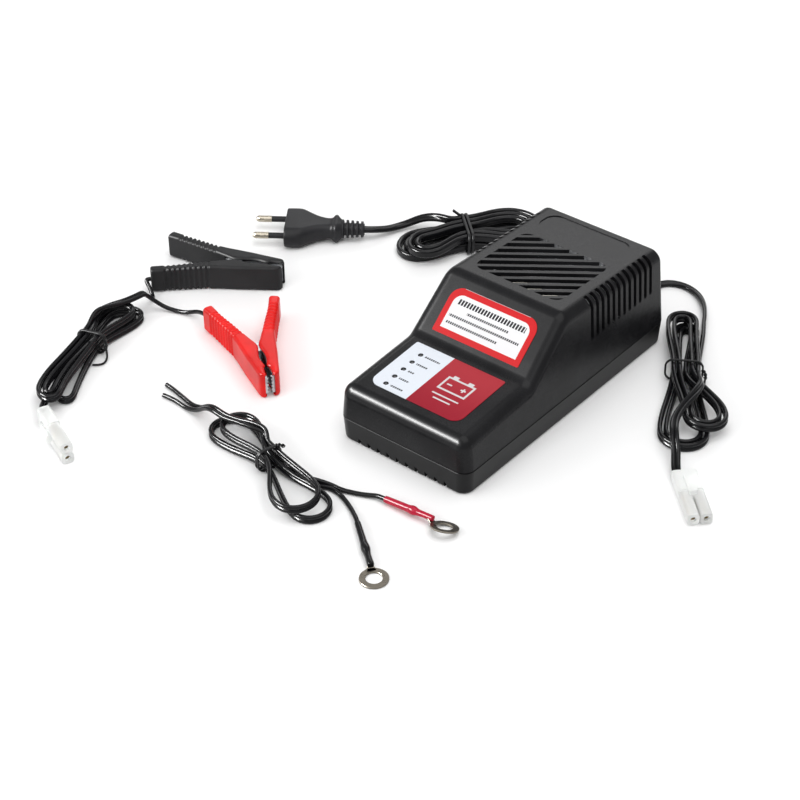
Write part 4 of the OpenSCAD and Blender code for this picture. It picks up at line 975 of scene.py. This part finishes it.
BLACK_FREE = [(-209, -67, 7.4, 0), (-210.2, -62, 2.6, 0), (-213.2, -59, 1.7, 0),
              (-216.6, -57.4, 4.6, 0)]
RED_FREE = [(-204, -68.2, 8, 0), (-197, -63.8, 2.6, 0), (-187, -60, 1.6, 0), (-178, -58.6, 5, 0)]
for colour, side, free, clip, out in (
    ("black", 1, BLACK_FREE, BLACK_CLIP, 3), ("red", -1, RED_FREE, RED_CLIP, 4),
):
    grip_end = grip_lead(*clip, out, 0, -CORE_INSIDE / 2, -CORE_INSIDE)
    route = spline([*core_start(*CLIP_FORK, side), *free, *grip_end], 12)
    cord(f"clip_core_{colour}", ONE_CORE, route, "tool", [jaws[colour]], f"clip_lead_{colour}")

# %% [markdown]
# ## Ring terminals
#
# A ring terminal is stamped from one plate: a flat ring, a tongue and a barrel that is crimped
# on the core. A sleeve of heat-shrunk vinyl covers the crimp and follows what is under it.

# %% Ring terminals
SLEEVE_HIGH = 2.55
BARREL_END = -8.6
PLATE, PLATE_EDGE = 0.9, 0.12
RING_WIDE, RING_MIDDLE = 3.2, 5.9
RED_RING = (50.25, -118.5, 2.65), (-20, -3.7, 2.5)
BLACK_RING = (45.5, -168.1, 0.2), (0, 0, -38.5)
BARREL_KEYS = [
    (-5.2, 5.6, 0.9, 0.42, 0.45), (-7.4, 4.4, 0.9, 0.42, 0.45), (-8.6, 3.4, 1.2, 0.42, 0.9),
    (-9.8, 2.9, 2.4, 1.15, 1.9), (-12, 2.7, 2.7, 1.15, 2.55), (-15, 2.7, 2.7, 1.15, 2.55),
]
RED_SLEEVE = [
    (-1.2, 1.35), (-0.9, 1.52), (1, 1.58), (4, 1.6), (8, 1.7), (9.6, 2.05), (11, 2.4),
    (12.6, 2.35), (14, 2.02), (16, 1.92), (22, 1.88), (28.4, 1.84), (29, 1.7),
]
BLACK_SLEEVE = [
    (-1.0, 1.5), (-0.8, 1.75), (1, 1.86), (4, 1.75), (7, 1.75), (9, 2.0), (11, 2.32),
    (13.5, 2.3), (15.5, 2.02), (18, 1.84), (24, 1.72), (31.4, 1.64), (32, 1.5),
]


def ring_terminal():
    """A flat ring, and the tongue and barrel behind it over keys of place, width, height,
    corner and middle height."""
    r, z = (round_rect(RING_WIDE, PLATE, PLATE_EDGE, 1) + (RING_MIDDLE, PLATE / 2)).T
    t = np.radians(np.arange(0, 360, 5))[:, None]
    rings = np.stack([r * np.cos(t), r * np.sin(t), np.broadcast_to(z, (len(t), len(z)))], -1)
    barrel = [at_x(round_rect(*size, 5) + (0, middle), x) for x, *size, middle in BARREL_KEYS]
    return loop_skin(rings), skin(np.array(barrel)[:, ::-1])


def sleeve(profile):
    """A tube of heat-shrunk vinyl: its radius at places along it, joined by a smooth curve."""
    along, radius = spline(profile, 6).T
    return skin(lathe_rings(BARREL_END - along, radius, 36, (0, SLEEVE_HIGH))[:, ::-1])


def in_sleeve(ring, *insides):
    """Points in a terminal's sleeve, so far in from its barrel's end."""
    at, turns = ring
    return [(*(turning(turns) @ (BARREL_END - d, 0, SLEEVE_HIGH) + at), 0) for d in insides]


first, *rest = [moved(part, *ring) for ring in (RED_RING, BLACK_RING) for part in ring_terminal()]
terminals = piece(
    "terminals", first, "terminal_tin", "terminal_tin", "ring_terminals", join=rest, sharp=40
)
cord(
    "ring_cord", TWIN_FLEX, whole_route(RING_EXIT, RING_HANK, None), "object", [],
    "ring_cord_hank", "ring_cord_split",
)
for colour, side, free, ring, outs, profile, material, slot in (
    ("red", 1, [(-8.2, -125.6, 1.35, 0), (-0.3, -122.8, 1.5, 0)], RED_RING, (34, 30, 8),
     RED_SLEEVE, "red_vinyl", "sleeve_red"),
    ("black", -1, [(-7.1, -130.4, 1.35, 0), (1.4, -134.3, 1.4, 0)], BLACK_RING, (36, 33, 8),
     BLACK_SLEEVE, "cord_vinyl", "cord_black"),
):
    tube = piece(
        f"sleeve_{colour}", moved(sleeve(profile), *ring), material, slot, f"{colour}_sleeve",
        sharp=50,
    )
    route = spline([*core_start(*RING_FORK, side), *free, *in_sleeve(ring, *outs)], 12)
    cord(
        f"ring_core_{colour}", ONE_CORE, route, "fitting", [terminals, tube],
        f"ring_lead_{colour}",
    )

# %% [markdown]
# The other end of the ring lead is its two cores, parted and cut off square.

# %% Core ends
UPPER_TIP = [(-131, -119.4, 1.35, 0), (-139, -117.7, 1.35, 0), (-145.9, -116.6, 1.35, 0)]
LOWER_TIP = [(-131, -124.3, 1.35, 0), (-136, -124.3, 1.35, 0), (-140.5, -124.7, 1.35, 0)]
for name, side, tip in (("upper", 1, UPPER_TIP), ("lower", -1, LOWER_TIP)):
    ends = [hank_end(RING_HANK, True, out) for out in (5, 6.5, 8)]
    points = [(x, y, z + side * CORE / 2, 0) for x, y, z, _ in ends]
    points += [(x, y + side * dy, z + side * dz, 0) for x, y, dy, z, dz in (
        (-65.1, -124.6, 0.3, 12.6, 1.2), (-71.5, -125.8, 1, 13.8, 0.85),
        (-80, -127.2, 1.32, 13.4, 0), (-90, -128.2, 1.32, 12.5, 0), (-100, -127, 1.32, 12.2, 0),
        (-107, -125.2, 1.4, 9, 0), (-114, -124.2, 1.7, 4.2, 0), (-122, -123.3, 2, 1.5, 0),
    )]
    route = spline([*points, *tip], 10)
    cord(f"bare_core_{name}", ONE_CORE, route, "bare", [], "ring_cord_ends")

# %% [markdown]
# ## The housing
#
# The cover is drawn as arches on stations along its length. The roof line falls from the rear,
# down a slope and along the lamp panel, with rounded creases. Near the front and rear the
# arches shrink as a quarter circle does, which rounds those edges. Carving slots and holes out
# of the closed form with a Boolean modifier keeps each opening's walls true.

# %% Housing form
WIDE, LONG = 86.0, 183.0
FRONT = -LONG / 2
PART_HIGH = 14.5
EDGE = 7.0
WALL = 2.2
GROOVE = 0.35
CREASE_ROUND = 9
ARCH_STEPS = 12
SIDE_DRAFT, FRONT_DRAFT, REAR_DRAFT = 0.055, 0.049, 0.1
ROOF_CORNERS = [(FRONT, 34.0), (FRONT + 58, 37.7), (FRONT + 88.8, 64.4), (REAR, 60.0)]
PANEL, SLOPE, TOP = (
    (y, z, (far_z - z) / (far_y - y))
    for (y, z), (far_y, far_z) in zip(ROOF_CORNERS, ROOF_CORNERS[1:])
)


def level(plane, y):
    """Height of a plane of the roof, a start and a slope, at a place along the housing."""
    return plane[1] + plane[2] * (y - plane[0])


def on_roof(solid, x, y, plane):
    """Lays a solid on a plane of the roof, at a point on it."""
    return moved(solid, (x, y, level(plane, y)), (math.degrees(math.atan(plane[2])), 0, 0))


def fillet(a, b, c, radius, steps):
    """Round corner at b between the lines to a and c, tangent to both."""
    a, b, c = (np.array(v, float) for v in (a, b, c))
    p, q = (a - b) / np.linalg.norm(a - b), (c - b) / np.linalg.norm(c - b)
    half = math.acos(p @ q) / 2
    centre = b + (p + q) / np.linalg.norm(p + q) * radius / math.sin(half)
    start, end = (b + v * radius / math.tan(half) - centre for v in (p, q))
    span = math.acos(start @ end / radius**2) * np.sign(start[0] * end[1] - start[1] * end[0])
    t = np.linspace(0, span, steps + 1)[:, None]
    return centre + start * np.cos(t) + np.array([-start[1], start[0]]) * np.sin(t)


ROOF = np.vstack([
    fillet(*ROOF_CORNERS[:3], CREASE_ROUND, 10), fillet(*ROOF_CORNERS[1:], CREASE_ROUND, 12),
])


def stations(radius):
    """Rows of [y, roof height, inset, lean to the front, lean to the rear]."""
    a = np.radians(np.linspace(2, 90, ARCH_STEPS + 1))
    step, inset, zero = radius * (1 - np.cos(a)), radius * (1 - np.sin(a)), np.zeros(len(a))
    y = FRONT + step
    front = np.column_stack([y, level(PANEL, y), inset, np.cos(a), zero])
    roof = np.column_stack([ROOF, np.zeros((len(ROOF), 3))])
    y = REAR - step
    rear = np.column_stack([y, level(TOP, y), inset, zero, np.cos(a)])
    return np.vstack([front, roof, rear[::-1]])


def cover_form(inset, foot):
    """The filled cover, shrunk all round by an inset: an arch on every station."""
    radius = EDGE - inset
    t = np.radians(np.linspace(0, 90, ARCH_STEPS + 1))
    rings = []
    for y, roof, shrink, front, rear in stations(radius):
        half = WIDE / 2 - inset - shrink
        top = roof - inset - shrink
        corner = radius - shrink
        shoulder = half - SIDE_DRAFT * (top - PART_HIGH) - corner
        right = np.column_stack([np.sin(t), np.cos(t)]) * corner + (shoulder, top - corner)
        outline = np.vstack([[(-half, foot)], right[::-1] * (-1, 1), right, [(half, foot)]])
        lean = (FRONT_DRAFT * front - REAR_DRAFT * rear) * (outline[:, 1] - PART_HIGH)
        lean += inset * (np.sign(front) - np.sign(rear))
        rings.append(np.column_stack([outline[:, 0], y + lean, outline[:, 1]]))
    return skin(rings)


# %% Slots and holes of the cover
GRILLE = (-29.0, 28.2), (6.0, 54.0)
GRILLE_CORNER = 6.0
THROUGH_TOP, THROUGH_PANEL = (48, 72), (20, 50)
GRILLE_SLOTS, GRILLE_PITCH, GRILLE_WIDE, GRILLE_TURN = 12, 6.3, 4.0, 39.0
SIDE_SLOTS, SIDE_PITCH, SIDE_WIDE = 12, 5.02, 2.6
SIDE_START, SIDE_FOOT, SIDE_IN, SIDE_OUT = 20.2, 37.8, 34.8, 54.8
LAMPS, LAMP_X, LAMP_Y, LAMP_PITCH = 5, -22.4, -46.9, 7.25
LAMP_WIDE, LAMP_FLANGE, LAMP_GAP = 3.0, 0.3, 0.02
NOTICE = (-29.5, 25.5), (63.0, 81.0)
NOTICE_CORNER, NOTICE_DEEP = 7.0, 0.5


def centre_of(area):
    """Half way between an area's limits along each axis."""
    return [(low + high) / 2 for low, high in area]


def size_of(area):
    """The width and length of an area."""
    return [high - low for low, high in area]


def clipped(outline, low, high):
    """The part of a convex outline between two heights y, by cutting it at each height."""
    for limit, sign in ((low, 1), (high, -1)):
        kept = []
        for p, q in zip(outline, np.roll(outline, -1, axis=0)):
            a, b = sign * (p[1] - limit), sign * (q[1] - limit)
            if a >= 0:
                kept.append(p)
            if (a >= 0) != (b >= 0):
                kept.append(p + (q - p) * a / (a - b))
        outline = np.array(kept)
        if len(outline) < 3:
            break
    return outline


def grille_slots():
    """Slanted slots: strips of a rounded rectangle, each cut out in the turned direction."""
    turned = turning((0, 0, GRILLE_TURN))[:2, :2]
    area = round_rect(*size_of(GRILLE), GRILLE_CORNER, 8) @ turned
    for i in range(GRILLE_SLOTS):
        at = (i - (GRILLE_SLOTS - 1) / 2) * GRILLE_PITCH
        strip = clipped(area, at - GRILLE_WIDE / 2, at + GRILLE_WIDE / 2)
        if len(strip) > 2:
            yield prism(strip @ turned.T + centre_of(GRILLE), *THROUGH_TOP)


def side_slots():
    """Upright slots with a round foot, cut inwards through each side and its shoulder."""
    t = np.radians(np.linspace(180, 360, 13))
    r, foot = SIDE_WIDE / 2, SIDE_FOOT + SIDE_WIDE / 2
    outline = np.column_stack([np.cos(t), np.sin(t)]) * r + (0, foot)
    outline = np.vstack([outline, [(r, foot + 40), (-r, foot + 40)]])
    for ends in ((-SIDE_OUT, -SIDE_IN), (SIDE_IN, SIDE_OUT)):
        for i in range(SIDE_SLOTS):
            slot = outline + (SIDE_START + i * SIDE_PITCH, 0)
            yield skin([at_x(slot, x) for x in ends])


def lamp_rods(radius):
    """Upright rods where the lamps stand."""
    return [rod(LAMP_X, y, *THROUGH_PANEL, radius) for y in lamps_y]


lamps_y = [LAMP_Y - i * LAMP_PITCH for i in range(LAMPS)]
notice = prism(round_rect(*size_of(NOTICE), NOTICE_CORNER, 8), -NOTICE_DEEP, 2)
notice = on_roof(notice, *centre_of(NOTICE), TOP)
holes = lamp_rods(LAMP_WIDE / 2 + LAMP_FLANGE)
openings = joined([*grille_slots(), *side_slots(), *holes, notice])
piece(
    "cover", cover_form(0, PART_HIGH + GROOVE), "housing_plastic", "housing_black", "top_cover",
    cut=[cover_form(WALL, PART_HIGH - 1), openings], sharp=30,
)

# %% [markdown]
# ## The base tray
#
# The tray is a stack of rounded rectangles: a rolled-under lower edge, slightly drafted walls
# and a step at the top that leaves the dark parting line. Small notches run along the lower
# edge at each end, and each runs out in a ramp up the wall.

# %% Tray
TRAY_TAPER, TRAY_WALL, FLOOR, ROLL = 1.0, 3.2, 2.4, 1.8
NOTCHES, NOTCH_PITCH, NOTCH_WIDE, NOTCH_LONG = 10, 6.4, 2.0, 14
NOTCH_RAMP = [(1, -1), (1, 4.2), (-0.6, 4.2), (-2.6, 0.6), (-2.6, -1)]
ENTRIES = (-22.0, 14.0)


def tray_rings():
    """The roll under the tray is 0.9 ((1.8 - z) / 1.8)^2.5 for heights z below 1.8 mm."""
    low = np.linspace(0, ROLL, 8)
    heights = np.r_[low, 6, 10, PART_HIGH - GROOVE - 0.2, PART_HIGH - GROOVE, PART_HIGH - GROOVE]
    extra = np.r_[0.9 * ((ROLL - low) / ROLL) ** 2.5, 0, 0, 0, 0.15, 1.0]
    insets = TRAY_TAPER * (1 - heights / PART_HIGH) + extra
    rings = []
    for z, inset in [*zip(heights, insets), (PART_HIGH + GROOVE - 0.05, 1.0)]:
        outline = round_rect(WIDE - 2 * inset, LONG - 2 * inset, EDGE - inset / 2, 12)
        rings.append(at_z(outline, z))
    return skin(rings)


def notch_cutters():
    """For each notch a block under the edge and a ramp up the wall."""
    for end, wall in ((-1, FRONT), (1, REAR)):
        side = [(wall + end * out, z) for out, z in NOTCH_RAMP[::end]]
        for i in range(NOTCHES):
            middle = (i - (NOTCHES - 1) / 2) * NOTCH_PITCH
            x = middle - NOTCH_WIDE / 2, middle + NOTCH_WIDE / 2
            yield box(x, sorted((wall - end * NOTCH_LONG, wall + end)), (-1, ROLL))
            points, faces = prism(side, *x)
            yield points[:, [2, 0, 1]], faces


hollow = prism(round_rect(WIDE - 2 * TRAY_WALL, LONG - 2 * TRAY_WALL, 4, 8), FLOOR, 30)
bore = prism(round_section(8, 32), -1, 6)
bores = [moved(bore, (x, REAR, ENTRY_HIGH), (90, 0, 0)) for x in ENTRIES]
piece(
    "tray", tray_rings(), "tray_plastic", "housing_black", "base_tray",
    cut=[hollow, *notch_cutters(), *bores], sharp=30,
)

# %% [markdown]
# ## Labels and lamps
#
# A label is a thin film with rounded corners. Its print is a formula on x and y: steps of
# coordinates multiplied together make a rectangle, and adding rectangles makes a row of bars.
# The wording is left out, and plain dashes stand where lines of it would be. A pale line
# along the rating label's far edge is a painted highlight.

# %% Label prints
LABEL = (-31.0, 28.0), (-80.0, -38.8)
RATING = (-28.8, 28.4), (5.6, 33.0)
PRINT_WHITE, PRINT_DARK, PRINT_GREY = (0.7, 0.74, 0.8), (0.02, 0.02, 0.025), (0.62, 0.6, 0.61)
BATTERY_OUTSIDE, BATTERY_INSIDE = (1.0, 19.0, -63.0, -52.0), (2.2, 17.8, -61.8, -53.2)
BATTERY_POSTS = (3.4, 6.8, -52.0, -50.2), (13.2, 16.6, -52.0, -50.2)
BATTERY_SIGNS = (
    (3.9, 7.1, -58.1, -57.1), (12.9, 16.1, -58.1, -57.1), (14.0, 15.0, -59.2, -58.1),
    (14.0, 15.0, -57.1, -56.0),
)
UNDERLINES = (1.5, 18.5, -67.6, -66.6), (4.5, 15.5, -70.8, -69.8)
LEGEND_ENDS = (-9.6, -12.0, -15.4, -13.0, -11.2)


def total(parts):
    """The sum of several masks."""
    first, *rest = parts
    return sum(rest, first)


def block(x, y, left, right, low, high):
    """1 inside a rectangle, else 0."""
    return x.between(left, right) * y.between(low, high)


def dashes(x, y, left, right, low, high, pitch, share):
    """A row of short dashes in a rectangle, which lean a little: x over the pitch, less its
    whole part, is below the share."""
    phase = (x * (1 / pitch) - y * 0.06).math("FRACT")
    return block(x, y, left, right, low, high) * (phase < share)


def rounded(x, y, left, right, low, high, radius):
    """1 inside a rectangle whose two far corners are round, else 0."""
    middle = (left + right) / 2
    aside = (x - middle).math("ABSOLUTE") - (right - middle - radius)
    beyond = y - (high - radius)
    aside, beyond = aside.math("MAXIMUM", 0.0), beyond.math("MAXIMUM", 0.0)
    corner = (aside * aside + beyond * beyond).math("SQRT")
    return block(x, y, left, right, low, high) * (corner < radius)


def print_on(paint, base, dark):
    """Lays the dark print on the base colours, and a faint unevenness on the film."""
    paint.set("Base Color", paint.mix(dark, base, PRINT_DARK))
    paint.bump(paint.noise(0.4, 2), 0.01)
    finish[paint.material.name] = paint.material


paint = Paint("indicator_print", PRINT_WHITE, 0.36, Specular_IOR_Level=0.1)
x, y, _ = paint.xyz()
shaded_red = paint.mix(y.ramp(-80, -38), (0.3, 0.008, 0.022), (0.4, 0.028, 0.04))
base = paint.mix(x > -5.8, PRINT_WHITE, shaded_red)
picture = block(x, y, *BATTERY_OUTSIDE) - block(x, y, *BATTERY_INSIDE)
marks = total(block(x, y, *area) for area in (*BATTERY_POSTS, *BATTERY_SIGNS, *UNDERLINES))
base = paint.mix(picture + marks, base, PRINT_GREY)
legends = total(
    dashes(x, y, -19.4, end, lamp - 0.65, lamp + 0.65, 1.3, 0.72)
    for lamp, end in zip(lamps_y, LEGEND_ENDS)
)
print_on(paint, base, legends)

paint = Paint("rating_print", PRINT_WHITE, 0.45, Specular_IOR_Level=0.05)
x, y, _ = paint.xyz()
along = (y - SLOPE[0]) * math.hypot(1, SLOPE[2])
(left, right), (low, high) = RATING
inner = rounded(x, along, left + 3.5, right - 3.5, low + 3.2, high - 4, 5.5)
base = paint.mix(inner, (0.62, 0.001, 0.005), (0.82, 0.82, 0.83))
# The pale line just inside the label's far edge is a painted highlight of that edge, not print.
line = block(x, along, left + 7, right - 7, high - 0.5, high - 0.1)
base = paint.mix(line, base, (0.5, 0.4, 0.41))
rows = [dashes(x, along, left + 6.5, right - 6, high - 9.6, high - 6.4, 1.9, 0.68)]
for start, end, at in ((15, 15, 12.6), (5.2, 6.0, 16.4), (5.2, 18, 20.4)):
    row = left + start, right - end, high - at - 0.7, high - at + 0.7
    rows.append(dashes(x, along, *row, 1.35, 0.7))
print_on(paint, base, total(rows))

# %% Label films
FILM, LIFT = 0.25, 0.02


def film(area, near, far):
    """A thin plate with one corner radius at its near end and another at its far end."""
    return prism(round_rect(*size_of(area), far, 8, near), LIFT, LIFT + FILM)


piece(
    "indicator_film", on_roof(film(LABEL, 6, 1), *centre_of(LABEL), PANEL), "indicator_print",
    "label_film", "indicator_label", cut=[joined(lamp_rods(LAMP_WIDE / 2))],
)
across, along = centre_of(RATING)
place = across, SLOPE[0] + along / math.hypot(1, SLOPE[2])
piece(
    "rating_film", on_roof(film(RATING, 0.8, 7.5), *place, SLOPE), "rating_print",
    "label_film", "rating_label",
)

# %% Lamps


def lamp(y):
    """A round lens with a domed top that stands level with the panel, on its flange."""
    top = level(PANEL, y)
    r = LAMP_WIDE / 2 - LAMP_GAP
    t = np.radians(np.linspace(0, 86, 14))
    radii = np.r_[r + LAMP_FLANGE, r + LAMP_FLANGE, r, r * np.cos(t)]
    heights = np.r_[top - 5.6, top - 4.6, top - 4.6, top - 1.2 + r * np.sin(t)]
    return skin(lathe_rings(heights, radii, 36, (LAMP_X, y))[..., [1, 2, 0]])


piece(
    "lamps", joined([lamp(y) for y in lamps_y]), "lens_smoke", "lamp_lens", "status_leds",
    sharp=40,
)

# %% [markdown]
# ## Ties
#
# Each hank is held by a twist tie, a soft wire in a plastic coat. It goes round the waist of
# the hank once or twice, its ends are twisted together, and a spare end sticks out. A twist
# is a section of two touching circles that turns as it goes along.

# %% Ties
TWIST_WIRE = 1.2
WIRE = round_section(TWIST_WIRE)
TWIST = twin_section(2 * TWIST_WIRE - 0.1, TWIST_WIRE, 0.3)


def tie_loop(h, at, wide, lean):
    """A closed band round a hank's waist: a rounded rectangle in the plane across it, carried
    round by a rounded section. lean shifts its top along the hank."""
    across = 2 * h.waist + h.thick + 0.8
    tall = h.layer + h.high + 0.5
    line = round_rect(across + TIE_THICK, tall + TIE_THICK, 4.2)
    ahead = np.roll(line, -1, axis=0) - np.roll(line, 1, axis=0)
    out = np.column_stack([ahead[:, 1], -ahead[:, 0]])
    out /= np.linalg.norm(out, axis=1)[:, None]
    x, y = round_rect(wide, TIE_THICK, 0.5, 3).T
    v, z = (line[:, i : i + 1] + out[:, i : i + 1] * y for i in (0, 1))
    u = at + x[None] + lean * z / tall
    return loop_skin(np.stack(on_hank(h, u, v, z + tall / 2 + TIE_THICK + 0.1, 0)[:3], -1))


TIES = {
    "mains": (MAINS_HANK, [(-1, 1.7, 0.8), (1.3, 1.7, 0.8)], [
        (TWIST, [(-0.5, 12.5, 11, 0), (-3, 13, 13, 0), (-6, 13.6, 15.5, 0)]),
    ]),
    "output": (OUTPUT_HANK, [(0, 1.3, -1.2)], [
        (TWIST, [(-0.8, 9.8, 7, 0), (0.8, 11.4, 6.2, 250), (4, 11.8, 5, 600)]),
        (WIRE, [(3.6, 11.8, 5.2, 0), (6.5, 11.6, 3, 0), (10, 12.4, 1.2, 0)]),
    ]),
    "clip": (CLIP_HANK, [(-0.8, 1.3, 1), (0.8, 1.3, -1)], [
        (TWIST, [(1, -7, 12, 0), (-0.5, -8.6, 8.6, 300), (-2.5, -9.6, 5, 600)]),
        (WIRE, [(-2, -9.6, 5.6, 0), (-5, -11.4, 1.6, 0), (-9.4, -11.8, 0.8, 0),
                (-12, -9.8, 0.8, 0), (-13.4, -6.5, 0.8, 0)]),
    ]),
    "ring": (RING_HANK, [(-0.9, 1.3, 1.2), (0.9, 1.3, -0.6)], [
        (TWIST, [(0.5, 4, 13.2, 0), (1.5, 6, 13.4, 300), (3.4, 8.4, 12.6, 600)]),
    ]),
}
for name, (h, loops, ends) in TIES.items():
    parts = [tie_loop(h, *loop) for loop in loops]
    parts += [cord_mesh(spline(beside(h, *places), 10), section) for section, places in ends]
    piece(
        f"{name}_tie", joined(parts), "tie_nylon", "tie_nylon", f"{name}_hank_tie", sharp=50
    )

# %% [markdown]
# ## Floor
#
# The floor reaches far beyond the view so that its edge never shows.

# %% Floor
REACH = (-4000, 4000)
floor = mesh_object("floor", box(REACH, REACH, (-6, 0)))
floor.data.materials.append(Paint("floor_white", (0.93, 0.93, 0.93), 0.75).material)
floor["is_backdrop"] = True

# %% Size of what is shown
visual_box = [list(corner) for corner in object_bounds()]
print("visual box in metres:", visual_box)
